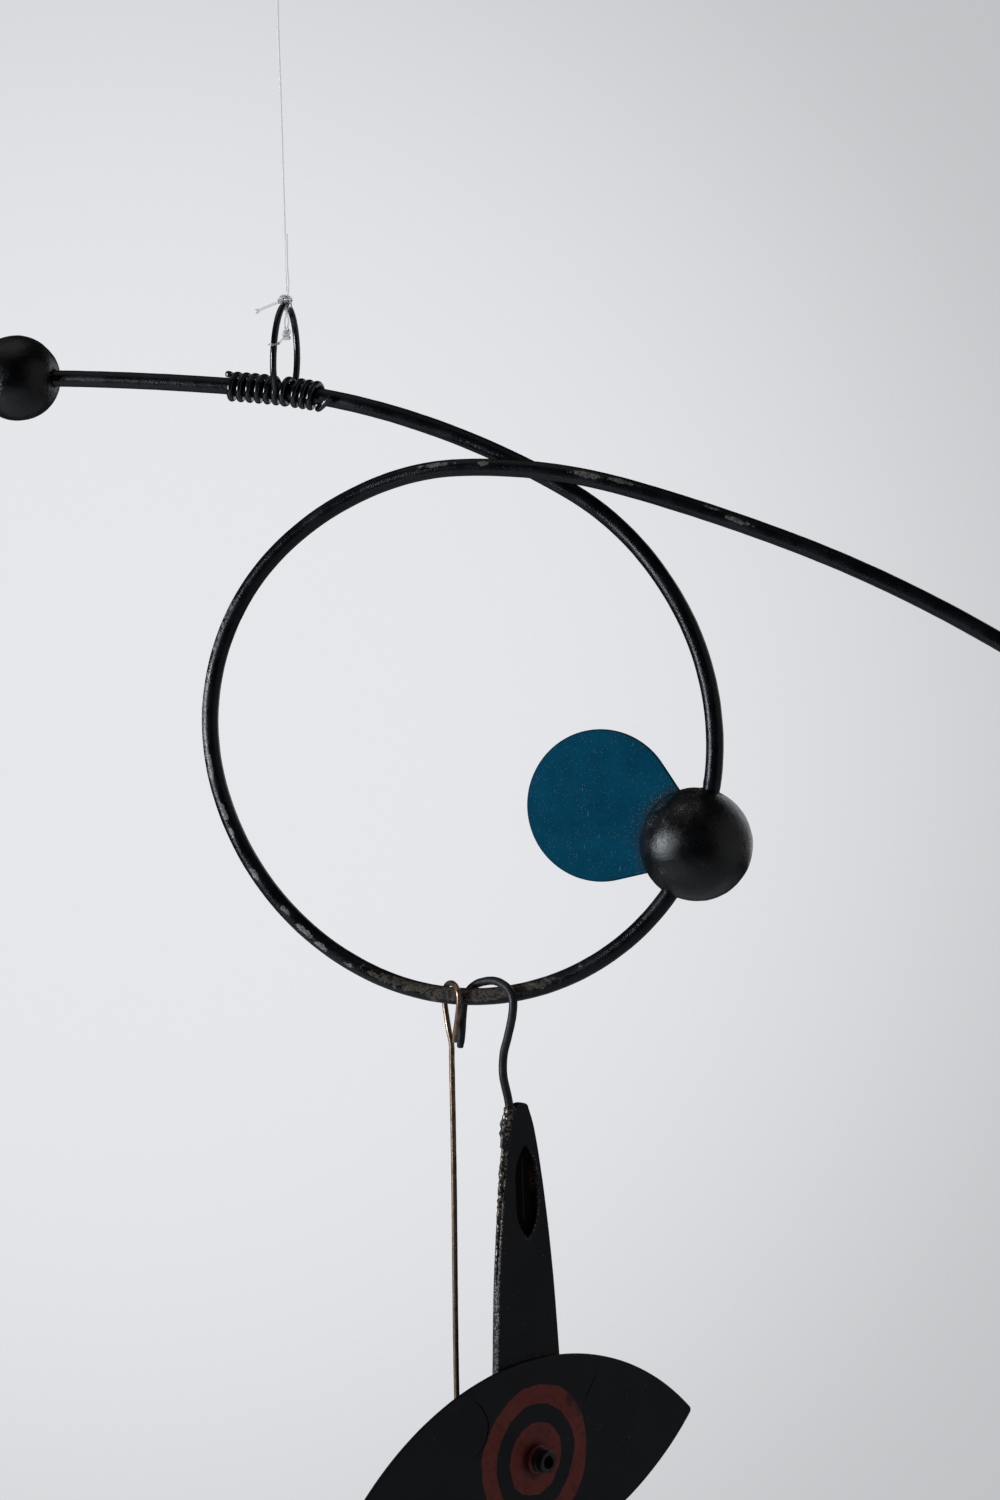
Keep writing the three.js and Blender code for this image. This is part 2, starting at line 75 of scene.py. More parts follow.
# Rod, from the left tip on: lengths, and bends as a share of the length and a clockwise turn
START_HEADING = -0.81
COUNTER_ARM = (0.150, ((1, 2.7),))
LEAD_IN = (0.3542, ((0.351, 4.2), (0.226, 12.3), (0.226, 11.5), (0.197, 27.4)))
RING = (0.6386, ((0.123, 35.2), (0.157, 50.8), (0.188, 58.7), (0.188, 51), (0.187, 63.2), (0.157, 43)))
LEAD_OUT = (0.240, ((0.333, 17), (0.333, 5.1), (0.334, 7.7)))
FAR_ARM = (0.110, ((1, 7),))
CROSSING_HOLD = 0.034
CROSSING_EASE = 0.060
SMALL_BALL_TO_EYE = 0.139
CROSSING_TO_RING_BALL = 0.2036
PENDANT_FROM_BOTTOM = 0.0088
HOOK_FROM_BOTTOM = -0.0088

# Eye wire
HOOP_HEIGHT = 0.0405
HOOP_WIDTH = 0.025
HOOP_LEAN = 0.002
FRONT_LEG_PLACE = -0.0023
BACK_LEG_PLACE = 0.0017
CROSS_PLACE = 0.0008
CROSS_LEAN = 0.0012
LONG_COIL = (5.8, 0.00453)
SHORT_COIL = (3.25, 0.00395)
TAIL_TURNS = 0.26
TAIL_REACH = 0.0078

# Balls and petal
ROD_END_INSET = 0.004
PETAL_RADIUS = 0.0343
PETAL_REACH = 0.047
PETAL_POINT = 0.0605
PETAL_SEAT = 0.009
PETAL_AIM = 157.9

# Pendant
PENDANT_TURN = 48
PENDANT_EYE_DROP = 0.021
PENDANT_EYE_SLACK = 0.0005
PENDANT_LENGTH = 0.318
PENDANT_SHANK = 0.0011
PENDANT_END = 0.0024
PENDANT_FLANK = ((0.97, -0.2), (0.76, -0.48), (0.46, -0.79))

# Hook and its braze
HOOK_TURN = 30
HOOK_HALF_WIDTH = 0.0165
HOOK_TIP = ((-1.2, -1), (-1.12, -0.65), (-1.01, -0.17))
HOOK_RISE = ((-0.84, 0.14), (-0.5, 0.77), (-0.09, 1.07), (0.27, 1.14))
HOOK_FALL = ((0.59, 0.95), (0.84, 0.59), (0.98, 0.03))
HOOK_NECK = ((1, -0.07), (0.96, -0.21), (0.77, -0.49), (0.6, -0.7), (0.55, -0.84), (0.55, -1))
HOOK_TIP_DROP = 0.025
HOOK_NECK_DROP = 0.0352
HOOK_LEG_SHARES = (0.985, 0.94, 0.88)
BRAZE_LENGTH = 0.078

# Blade, plate and post
HANGER_TURN = 61
HANGER_PLACE = (0.0165, 0.0038, -0.2104)
BLADE_HEIGHT = 0.162
BLADE_LEAN = 1.2
BLADE_TOP_HALF = 0.0046
BLADE_BASE_HALF = 0.022
BLADE_SIDE = ((0, 1), (0.27, 0.87), (0.54, 0.7), (0.78, 0.43), (0.93, 0.18), (0.985, 0))
SLOT = (0.0133, 0.0425)
SLOT_HEIGHT = 0.1213
SLOT_RIGHT = 0.0019
SLOT_DEPTH = 0.003
PLATE_HEIGHT = 0.090
PLATE_ARC_RADIUS = 0.150
PLATE_TILT = 0.8
PLATE_CORNER_RADIUS = 0.0022
POST_SHANK = 0.0035
POST_COLLAR = (0.0062, 0.0022)
POST_STEP = 0.0055
POST_END = 0.0051
POST_REACH = 0.0084
POST_BORE = (0.00285, 0.007)
POST_HEAD = (0.006, 0.0022)

# Painted rings: the disc, the band's two radii, and how soft an edge is
DISC_RADIUS = 0.0167
BAND_RADII = (0.0246, 0.0336)
RING_EDGE = 0.0003

# Cracks in the plate's paint, across and up from the post
PLATE_CRACKS = (
    ((0.041, 0.031), (0.037, 0.0255), (0.0335, 0.021), (0.030, 0.016)),
    ((-0.038, 0.035), (-0.032, 0.029), (-0.029, 0.0215), (-0.0315, 0.0135), (-0.0375, 0.009)),
)

# Stage
CAMERA_PLACE = (0.4294, -1.0691, -0.37735)
CAMERA_YAW = 17
CAMERA_ROLL = 0.95
CAMERA_LENS = 58.99
FLOOR_HEIGHT = -1.25
FLOOR_RADIUS = 1.45
STAGE_MIDDLE = Vector((0.1, 0, -0.4))
ROOM_STRENGTH = 0.032
# Lamps: name, place from the middle along the view's right, ahead and up, size, watts and tint
LAMPS = (
    ("key", (-1.76, -0.52, 0.05), (0.42, 0.6), 24, (0.84, 0.92, 1.0)),
    ("top", (-0.5, -0.1, 1.5), (1.4, 1.4), 1.6, (1.0, 0.98, 0.95)),
    ("fill", (1.7, -0.5, 0.15), (2.2, 2.4), 4.4, (0.95, 0.97, 1.0)),
    ("back", (1.1, 1.5, 0.4), (1.4, 1.4), 5, (0.95, 0.97, 1.0)),
)

# Dirt and wear, and painted highlights
DUST = (0.16, 0.15, 0.14)
# Dust on the balls, mixed with painted light on the side that faces up, left and to the front
BALL_DUST_AND_SHEEN = (0.2, 0.18, 0.155)
BALL_NICK = (0.2, 0.13, 0.09)
BALL_NICK_PLACE = (-0.42, -0.8, -0.43)
RUBBED_DARK, RUBBED_LIGHT = (0.017, 0.014, 0.012), (0.15, 0.122, 0.098)
OVERSPRAY = (0.05, 0.044, 0.04)
LINT = (0.2, 0.25, 0.26)
PETAL_RUST = (0.16, 0.06, 0.025)
SEAM_RUST = (0.16, 0.085, 0.045)
SLOT_RUST = (0.11, 0.055, 0.03)
# Painted highlight down the ridge inside the blade's slot
SLOT_RIDGE_HIGHLIGHT = (0.045, 0.042, 0.04)
PLATE_FLECK = (0.22, 0.19, 0.16)
# Bare paint edges, with a painted highlight on them
BARE_EDGE_AND_HIGHLIGHT = (0.42, 0.4, 0.38)
BRAZE_BROWN = (0.075, 0.045, 0.028)
ROUGH_FOOT = (0.13, 0.1, 0.075)

# Worn places on the rod: station, half length, side, half spread and strength. Side 0 is the front, and side
# 90 is the ring's outer side
ROD_WEAR = (
    (1.133, 0.009, 30, 18, 1.05), (1.155, 0.003, 28, 15, 1.05), (1.203, 0.009, 22, 20, 1.05),
    (1.2195, 0.008, 32, 15, 1.05), (1.261, 0.004, 40, 13, 1), (1.275, 0.007, 12, 18, 1.05),
    (0.998, 0.032, 36, 22, 0.66), (0.957, 0.028, 30, 24, 0.76), (0.933, 0.007, 8, 18, 1.0),
    (0.911, 0.0042, 0, 18, 1.2), (0.9, 0.003, 6, 15, 1.15), (0.878, 0.004, 6, 22, 1.2),
    (0.8545, 0.0035, -8, 20, 1.15), (0.8415, 0.005, 2, 20, 1.05), (0.83, 0.004, 14, 20, 1.15),
    (0.815, 0.003, 15, 16, 1.05), (0.802, 0.004, -10, 18, 0.9),
)
# The ring's lowest stretch, rubbed brown by the hooks
ROD_RUBBED = (0.756, 0.045, -25, 58, 1.15)


def length(name, description, default, least):
    return bpy.props.FloatProperty(
        name=name, description=description, default=default, min=least, unit="LENGTH")


class MobileSizes(bpy.types.PropertyGroup):
    rod_diameter: length("Rod", "Diameter of the bent rod", 0.008, 0.004)
    line_diameter: length("Line", "Diameter of the clear line", 0.0009, 0.0004)
    eye_wire_diameter: length("Eye wire", "Diameter of the wire wound on the rod", 0.0031, 0.001)
    pendant_wire_diameter: length("Pendant wire", "Diameter of the long pendant wire", 0.0027, 0.001)
    hook_wire_diameter: length("Hook wire", "Diameter of the hook's wire", 0.004, 0.001)
    counterweight_diameter: length("Counterweight", "Diameter of the ball on the left tip", 0.0472, 0.01)
    small_ball_diameter: length("Small ball", "Diameter of the ball left of the eye", 0.0413, 0.01)
    ring_ball_diameter: length("Ring ball", "Diameter of the ball in the ring", 0.051, 0.01)
    end_ball_diameter: length("End ball", "Diameter of the ball on the right tip", 0.0413, 0.01)
    pendant_ball_diameter: length("Pendant ball", "Diameter of the ball under the pendant", 0.03, 0.008)
    petal_thickness: length("Petal", "Thickness of the petal", 0.0014, 0.0005)
    blade_thickness: length("Blade", "Thickness of the blade", 0.0042, 0.001)
    plate_thickness: length("Plate", "Thickness of the eye-shaped plate", 0.0016, 0.0005)


def colour(name, description, default):
    return bpy.props.FloatVectorProperty(
        name=name, description=description, default=default, size=3, subtype="COLOR", min=0, max=1)


class MobileColours(bpy.types.PropertyGroup):
    rod_paint: colour("Rod paint", "Paint on the rod", (0.0042, 0.0052, 0.0075))
    worn_metal: colour("Worn metal", "Bare places on the rod", (0.3, 0.285, 0.265))
    wire_paint: colour("Wire paint", "Paint on the eye wire", (0.005, 0.006, 0.008))
    ball_paint: colour("Ball paint", "Paint on the balls", (0.0014, 0.0016, 0.0024))
    petal_paint: colour("Petal paint", "Paint on the petal", (0.0, 0.092, 0.168))
    plate_paint: colour("Plate paint", "Paint on blade and plate", (0.0062, 0.007, 0.0098))
    ring_paint: colour("Ring paint", "Painted rings on the plate and the post's collar", (0.25, 0.044, 0.03))
    tarnish: colour("Tarnish", "Bronze of the pendant wire", (0.4, 0.275, 0.19))
    steel: colour("Steel", "Hook wire", (0.028, 0.028, 0.028))
    braze: colour("Braze", "Melted metal on the blade's side", (0.5, 0.44, 0.38))
    line_tint: colour("Line tint", "Clear line", (0.98, 0.99, 1.0))
    floor: colour("Floor", "Stage floor", (0.85, 0.86, 0.88))
    backdrop: colour("Backdrop", "Pale surroundings", (0.79, 0.8, 0.825))


# Meshes


def shaped(name, points, faces, sharp=None):
    mesh = bpy.data.meshes.new(name)
    mesh.from_pydata([tuple(point) for point in points], [], [tuple(face) for face in faces])
    mesh.polygons.foreach_set("use_smooth", [True] * len(mesh.polygons))
    if sharp:
        mesh.set_sharp_from_angle(angle=math.radians(sharp))
    mesh.update()
    piece = bpy.data.objects.new(name, mesh)
    bpy.context.collection.objects.link(piece)
    return piece


def placed(piece, slot, *nodes):
    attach(piece, "root")
    if nodes:
        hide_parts(*nodes)
    return piece


def mark(piece, name, values):
    layer = piece.data.attributes.new(name, "FLOAT", "POINT")
    layer.data.foreach_set("value", np.asarray(values, dtype=np.float32))


def unit(vectors):
    vectors = np.asarray(vectors, float)
    return vectors / np.maximum(np.linalg.norm(vectors, axis=-1, keepdims=True), 1e-12)


def rows(points):
    return np.array([tuple(point) for point in points])


def moved(point, x, y, z):
    return point + Vector((x, y, z))


def smooth_step(values, low, high):
    share = np.clip((np.asarray(values, float) - low) / (high - low), 0, 1)
    return share * share * (3 - 2 * share)


def through(points, spacing):
    """A smooth centripetal line through the points, in even steps"""
    points = np.asarray(points, float)
    ends = np.vstack([2 * points[0] - points[1], points, 2 * points[-1] - points[-2]])
    line = []
    for before, start, end, after in zip(ends, ends[1:], ends[2:], ends[3:]):
        knots = np.cumsum([0] + [np.linalg.norm(b - a) ** 0.5 for a, b in
                                 ((before, start), (start, end), (end, after))])
        for t in np.linspace(knots[1], knots[2], 24, endpoint=False):
            def blend(a, b, i, j):
                return (a * (knots[j] - t) + b * (t - knots[i])) / (knots[j] - knots[i])
            first, second = blend(before, start, 0, 1), blend(start, end, 1, 2)
            third = blend(end, after, 2, 3)
            line.append(blend(blend(first, second, 0, 2), blend(second, third, 1, 3), 1, 2))
    line.append(points[-1])
    return even(line, spacing)


def even(line, spacing):
    line = np.asarray(line, float)
    run = np.concatenate([[0], np.cumsum(np.linalg.norm(np.diff(line, axis=0), axis=1))])
    steps = max(2, round(run[-1] / spacing))
    stops = np.linspace(0, run[-1], steps + 1)
    return np.column_stack([np.interp(stops, run, line[:, axis]) for axis in range(3)])


def frames(line, first):
    """Ahead and sideways directions along a line, without twist"""
    ahead = unit(np.gradient(line, axis=0))
    side = [unit(np.cross(ahead[0], np.cross(np.asarray(first, float), ahead[0])))]
    for direction in ahead[1:]:
        turned = side[-1] - direction * np.dot(side[-1], direction)
        side.append(unit(turned))
    side = np.array(side)
    return ahead, side, np.cross(ahead, side)


def swept(name, line, radius, sides, first=(0, -1, 0), relief=None, bevel=0.0):
    """A round wire along the line. relief(points) gives how far each point moves out"""
    line = np.asarray(line, float)
    ahead, side, over = frames(line, first)
    radii = np.broadcast_to(np.asarray(radius, float), (len(line),)).copy()
    if bevel:
        line = np.vstack([line[0], line[0] + ahead[0] * bevel, line[1:-1],
                          line[-1] - ahead[-1] * bevel, line[-1]])
        radii = np.concatenate([[radii[0] - bevel, radii[0]], radii[1:-1], [radii[-1], radii[-1] - bevel]])
        ahead, side, over = (np.vstack([a[:1], a[:1], a[1:-1], a[-1:], a[-1:]]) for a in (ahead, side, over))
    angles = np.arange(sides) * 2 * math.pi / sides
    outward = side[:, None] * np.cos(angles)[None, :, None] + over[:, None] * np.sin(angles)[None, :, None]
    points = line[:, None] + outward * radii[:, None, None]
    flat, normals = points.reshape(-1, 3), outward.reshape(-1, 3)
    if relief:
        flat = flat + normals * relief(flat)[:, None]
    faces = [(a, d, c, b) for a, b, c, d in strips(len(line), sides)]
    faces.append(tuple(range(sides - 1, -1, -1)))
    faces.append(tuple((len(line) - 1) * sides + j for j in range(sides)))
    return shaped(name, flat, faces, 50)


def strips(rings, sides):
    """Faces from each ring of points to the next"""
    faces = []
    for i in range(rings - 1):
        for j in range(sides):
            k = (j + 1) % sides
            faces.append((i * sides + j, (i + 1) * sides + j, (i + 1) * sides + k, i * sides + k))
    return faces


def grain(points, size, depth, octaves=3, seed=0.0):
    """Soft lumps of about the given size, pushed in by up to the depth"""
    shift = Vector((seed * 3.1, seed * 7.7, seed * 1.3))
    scale = 1 / size
    return np.array([
        depth * (noise.fractal(Vector(point) * scale + shift, 1.0, 2.0, octaves) * 0.5 - 0.5)
        for point in points
    ])


def loop_normals(loop):
    ahead = unit(np.roll(loop, -1, axis=0) - np.roll(loop, 1, axis=0))
    return np.column_stack([ahead[:, 1], -ahead[:, 0]])


def inset(loop, amount):
    """A counter-clockwise loop moved inwards"""
    return loop - loop_normals(loop) * amount


def inside(loop, points):
    hit = np.zeros(len(points), bool)
    for (ax, ay), (bx, by) in zip(loop, np.roll(loop, -1, axis=0)):
        crosses = (ay > points[:, 1]) != (by > points[:, 1])
        with np.errstate(divide="ignore", invalid="ignore"):
            at = (bx - ax) * (points[:, 1] - ay) / (by - ay) + ax
        hit ^= crosses & (points[:, 0] < at)
    return hit


def filled(outer, holes, guides, spacing):
    """Triangles over the outline, around its holes, on a fine grid"""
    loops = [outer, *holes, *guides]
    points, edges, start = [], [], 0
    for loop in loops:
        count = len(loop)
        points.extend(loop)
        edges.extend((start + i, start + (i + 1) % count) for i in range(count))
        start += count
    low, high = outer.min(axis=0), outer.max(axis=0)
    rows = np.arange(low[1], high[1], spacing * 0.87)
    grid = np.array([
        (x + (row % 2) * spacing / 2, y)
        for row, y in enumerate(rows) for x in np.arange(low[0], high[0], spacing)
    ])
    fence = np.vstack([np.vstack([loop, (loop + np.roll(loop, -1, axis=0)) / 2]) for loop in loops])
    keep = inside(outer, grid)
    for hole in holes:
        keep &= ~inside(hole, grid)
    grid = grid[keep]
    clear = np.array([np.min(np.hypot(*(fence - point).T)) > spacing * 0.55 for point in grid])
    points.extend(grid[clear])
    corners, _, faces, *_ = geometry.delaunay_2d_cdt([Vector(point) for point in points], edges, [], 0, 1e-9)
    corners = np.array([tuple(corner) for corner in corners])
    faces = np.array([tuple(face) for face in faces])
    centres = corners[faces].mean(axis=1)
    wanted = inside(outer, centres)
    for hole in holes:
        wanted &= ~inside(hole, centres)
    return corners, faces[wanted]


class Sheet:
    """A flat piece with rounded edges. Across and up are its plane, and depth runs to the back"""

    def __init__(self):
        self.points, self.faces = [], []

    def add(self, points, faces):
        start = len(self.points)
        self.points.extend(tuple(point) for point in points)
        self.faces.extend(tuple(start + i for i in face) for face in faces)

    def face(self, outer, holes, depth, spacing, back, guides=()):
        corners, faces = filled(outer, holes, guides, spacing)
        points = np.column_stack([corners[:, 0], np.full(len(corners), depth), corners[:, 1]])
        first = corners[faces[:, 1]] - corners[faces[:, 0]]
        second = corners[faces[:, 2]] - corners[faces[:, 0]]
        turns = first[:, 0] * second[:, 1] - first[:, 1] * second[:, 0]
        # A counter-clockwise triangle faces the front
        flipped = faces[:, ::-1]
        faces = np.where(((turns > 0) != back)[:, None], faces, flipped)
        self.add(points, faces)

    def walls(self, loop, profile, outwards=True):
        """Strips from one inset and depth to the next"""
        rings = [inset(loop, amount) for amount, _ in profile]
        points = [(x, depth, y) for ring, (_, depth) in zip(rings, profile) for x, y in ring]
        faces = strips(len(profile), len(loop))
        self.add(points, faces if outwards else [face[::-1] for face in faces])

    def made(self, name, relief, matrix, turn=0.0):
        mesh = bmesh.new()
        corners = [mesh.verts.new(point) for point in self.points]
        for face in self.faces:
            mesh.faces.new([corners[i] for i in face])
        bmesh.ops.remove_doubles(mesh, verts=mesh.verts, dist=2e-6)
        bmesh.ops.recalc_face_normals(mesh, faces=mesh.faces)
        data = bpy.data.meshes.new(name)
        mesh.to_mesh(data)
        mesh.free()
        local = np.empty(len(data.vertices) * 3)
        data.vertices.foreach_get("co", local)
        local = local.reshape(-1, 3)
        plane = local[:, [0, 2]].copy()
        local[:, 1] += relief(local)
        lean = Matrix.Rotation(math.radians(-turn), 3, "Y")
        final = np.array([tuple(matrix @ (lean @ Vector(point))) for point in local])
        data.vertices.foreach_set("co", final.ravel())
        data.polygons.foreach_set("use_smooth", [True] * len(data.polygons))
        data.set_sharp_from_angle(angle=math.radians(40))
        uv = data.uv_layers.new(name="plane")
        corner = np.empty(len(data.loops), int)
        data.loops.foreach_get("vertex_index", corner)
        uv.data.foreach_set("uv", plane[corner].ravel())
        data.update()
        piece = bpy.data.objects.new(name, data)
        bpy.context.collection.objects.link(piece)
        return piece, local


def rounded(rounding, thickness, front):
    """Inset and depth from the front face round the edge to the back face"""
    arc = [math.pi / 2 * i / 4 for i in range(5)]
    near = [(rounding * (1 - math.sin(a)), front + rounding * (1 - math.cos(a))) for a in arc]
    far = [(inset_by, 2 * front + thickness - depth) for inset_by, depth in reversed(near)]
    return near + far


# The rod's line


class BentRod:
    def __init__(self, rod_diameter):
        self.bends = []
        stretches = (COUNTER_ARM, LEAD_IN, RING, LEAD_OUT, FAR_ARM)
        place, station = (0.0, 0.0, math.radians(START_HEADING)), 0.0
        for whole, bends in stretches:
            for share, turn in bends:
                length = whole * share
                self.bends.append((station, place, length / math.radians(turn)))
                place = self.along(self.bends[-1], length)
                station += length
        self.total = station
        self.lead_in_end = COUNTER_ARM[0] + LEAD_IN[0]
        self.ring_end = self.lead_in_end + RING[0]
        self.origin = (0.0, 0.0)
        self.width = rod_diameter / 2 + GAP
        self.crossing = None
        self.crossing = self.find_crossing(rod_diameter / 8)
        self.eye = COUNTER_ARM[0] + SMALL_BALL_TO_EYE
        under = self.at(self.eye + HOOP_LEAN)[0]
        self.origin = (under.x - EYE_TOP.x, under.z - EYE_TOP.z + HOOP_HEIGHT)
        self.ring_ball = self.crossing[0] + CROSSING_TO_RING_BALL
        self.bottom = self.lead_in_end
        while self.at(self.bottom)[2] > -math.pi:
            self.bottom += 0.0005

    @staticmethod
    def along(bend, run):
        _, (x, z, heading), radius = bend
        turned = heading - run / radius
        return (x - radius * (math.sin(turned) - math.sin(heading)),
                z + radius * (math.cos(turned) - math.cos(heading)), turned)

    def find_crossing(self, step):
        before = np.arange(self.lead_in_end - LEAD_IN[0] / 2, self.lead_in_end, step)
        after = np.arange(self.ring_end - RING[0] / 8, self.total, step)
        first = np.array([tuple(self.at(s)[0]) for s in before])
        second = np.array([tuple(self.at(s)[0]) for s in after])
        apart = np.linalg.norm(first[:, None] - second[None], axis=2)
        i, j = np.unravel_index(np.argmin(apart), apart.shape)
        return before[i], after[j]

    def sway(self, station):
        if self.crossing is None:
            return 0.0
        near = [1 - float(smooth_step(abs(station - middle), CROSSING_HOLD, CROSSING_HOLD + CROSSING_EASE))
                for middle in self.crossing]
        return self.width * (near[0] - near[1])

    def at(self, station):
        """Place, direction up from the rod in its own plane, and heading"""
        bend = next((b for b in reversed(self.bends) if b[0] <= station), self.bends[0])
        x, z, heading = self.along(bend, station - bend[0])
        place = Vector((x - self.origin[0], self.sway(station), z - self.origin[1]))
        return place, Vector((-math.sin(heading), 0, math.cos(heading))), heading

    def line(self, start, end, spacing):
        count = max(2, round((end - start) / spacing))
        stations = np.linspace(start, end, count + 1)
        return stations, np.array([tuple(self.at(s)[0]) for s in stations])


def given(context):
    """The panel's sizes and colours, and the rod's line"""
    sizes = context.scene.mobile_sizes
    return sizes, context.scene.mobile_colours, BentRod(sizes.rod_diameter)


def in_plane(origin, turn, along, height):
    """A point in the upright plane that stands turned from the front"""
    angle = math.radians(turn)
    return origin + Vector((along * math.cos(angle), -along * math.sin(angle), height))


def hanger_matrix(rod):
    hook = rod.at(rod.bottom + HOOK_FROM_BOTTOM)[0]
    turn = Matrix.Rotation(math.radians(HANGER_TURN), 4, "Z")
    return Matrix.Translation(hook + Vector(HANGER_PLACE)) @ turn


# Finishes


class Finish:
    """One material, built node by node. A value or a socket feeds each input"""

    def __init__(self, name, colour, roughness, metallic=0.0, specular=0.5):
        self.material = bpy.data.materials.new(name)
        self.material.use_nodes = True
        self.tree = self.material.node_tree
        self.shader = self.tree.nodes["Principled BSDF"]
        self.shader.inputs["Base Color"].default_value = (*colour, 1)
        self.shader.inputs["Roughness"].default_value = roughness
        self.shader.inputs["Metallic"].default_value = metallic
        self.shader.inputs["Specular IOR Level"].default_value = specular
        self.material.diffuse_color = (*colour, 1)
        self.places = self.node("ShaderNodeTexCoord").outputs["Object"]

    def node(self, kind, feeds=(), **settings):
        node = self.tree.nodes.new(kind)
        for key, value in settings.items():
            setattr(node, key, value)
        for key, value in dict(feeds).items():
            if isinstance(value, bpy.types.NodeSocket):
                self.tree.links.new(value, node.inputs[key])
            else:
                node.inputs[key].default_value = value
        return node

    def noise(self, size, detail=4, roughness=0.55, places=None, distortion=0.0):
        return self.node("ShaderNodeTexNoise", {
            "Vector": places or self.places, "Scale": 1 / size, "Detail": detail, "Roughness": roughness,
            "Distortion": distortion}).outputs["Fac"]

    def cells(self, size, places=None):
        return self.node("ShaderNodeTexVoronoi", {
            "Vector": places or self.places, "Scale": 1 / size, "Randomness": 1.0}).outputs["Distance"]

    def range(self, value, low, high, to_low=0.0, to_high=1.0):
        return self.node("ShaderNodeMapRange", {
            "Value": value, "From Min": low, "From Max": high, "To Min": to_low, "To Max": to_high,
        }, interpolation_type="SMOOTHSTEP").outputs[0]

    def math(self, kind, first, second=0.0):
        return self.node("ShaderNodeMath", {0: first, 1: second}, operation=kind).outputs[0]

    def times(self, first, second):
        return self.math("MULTIPLY", first, second)

    def uneven(self, amount, *grain_of_noise):
        """Noise that swings either way of zero"""
        return self.times(self.math("SUBTRACT", self.noise(*grain_of_noise), 0.5), amount)

    def blend(self, share, first, second):
        node = self.node("ShaderNodeMix", data_type="RGBA")
        for index, value in ((0, share), (6, first), (7, second)):
            if isinstance(value, bpy.types.NodeSocket):
                self.tree.links.new(value, node.inputs[index])
            else:
                node.inputs[index].default_value = value if index == 0 else (*value, 1)
        return node.outputs[2]

    def attribute(self, name):
        return self.node("ShaderNodeAttribute", attribute_name=name).outputs["Fac"]

    def bump(self, height, distance, strength=1.0):
        feeds = {"Height": height, "Distance": distance, "Strength": strength}
        socket = self.shader.inputs["Normal"]
        if socket.is_linked:
            feeds["Normal"] = socket.links[0].from_socket
        normal = self.node("ShaderNodeBump", feeds).outputs[0]
        self.tree.links.new(normal, socket)

    def feed(self, name, value):
        self.tree.links.new(value, self.shader.inputs[name])


def scaled(colour, by):
    return tuple(min(1.0, part * by) for part in colour)


def brushed_paint(name, paint, roughness, pits=0.0007, dust=0.5, specular=0.5, lumps=0.3, pitting=0.55):
    """Black brush paint: soft tone changes, fine pits and settled dust"""
    finish = Finish(name, paint, roughness, specular=specular)
    broad = finish.noise(0.012, 5, 0.6)
    tone = finish.blend(finish.range(broad, 0.35, 0.7), scaled(paint, 0.6), scaled(paint, 1.6))
    dots = finish.range(finish.cells(0.0017), 0.17, 0.1)
    rare = finish.range(finish.noise(0.005, 3), 0.52, 0.62)
    share = finish.times(finish.times(dots, rare), dust)
    tone = finish.blend(share, tone, DUST)
    finish.feed("Base Color", tone)
    finish.feed("Roughness", finish.range(broad, 0.3, 0.75, roughness - 0.07, roughness + 0.12))
    finish.bump(finish.noise(0.0035, 3), 0.0003, lumps)
    finish.bump(finish.range(finish.noise(pits, 4, 0.7), 0.34, 0.62), 0.00007, pitting)
    return finish, tone


def rod_finish(colours):
    finish, tone = brushed_paint("rod_paint", colours.rod_paint, 0.25, 0.0008, specular=0.34, pitting=0.42)
    patchy = finish.uneven(2.2, 0.0045, 4, 0.65)
    flecks = finish.uneven(1.1, 0.0011, 4, 0.7)
    bare = finish.math("ADD", finish.attribute("wear"), finish.math("ADD", patchy, flecks))
    share = finish.range(bare, 0.58, 0.68)
    mottled = finish.range(finish.noise(0.0014, 5, 0.75), 0.36, 0.62)
    metal = finish.blend(mottled, scaled(colours.worn_metal, 0.3), scaled(colours.worn_metal, 1.1))
    brown = finish.blend(mottled, RUBBED_DARK, RUBBED_LIGHT)
    metal = finish.blend(finish.range(finish.attribute("rubbed"), 0.15, 0.5), metal, brown)
    finish.feed("Base Color", finish.blend(share, tone, metal))
    finish.bump(share, 0.00012, -0.7)
    return finish.material


def ball_finish(name, colours):
    finish, tone = brushed_paint(name, colours.ball_paint, 0.22, 0.0009, 0.5, lumps=0.5)
    # Dust, and painted light, on the side that faces up, left and to the front
    up = finish.node("ShaderNodeVectorMath", {
        0: finish.node("ShaderNodeNewGeometry").outputs["Normal"], 1: (-0.45, -0.35, 0.82)},
        operation="DOT_PRODUCT").outputs["Value"]
    clouds = finish.range(finish.noise(0.0075, 6, 0.75), 0.44, 0.66)
    dust_and_sheen = finish.times(finish.range(up, 0.35, 1.0), clouds)
    specks = finish.range(finish.noise(0.0009, 4, 0.75), 0.45, 0.62)
    tone = finish.blend(finish.times(finish.times(dust_and_sheen, specks), 0.8), tone, BALL_DUST_AND_SHEEN)
    flecks = finish.range(finish.noise(0.0013, 4, 0.7), 0.5, 0.6)
    tone = finish.blend(finish.times(finish.attribute("scar"), flecks), tone, BALL_NICK)
    finish.feed("Base Color", tone)
    finish.bump(finish.noise(0.0014, 5, 0.7), 0.00022, 0.62)
    return finish.material


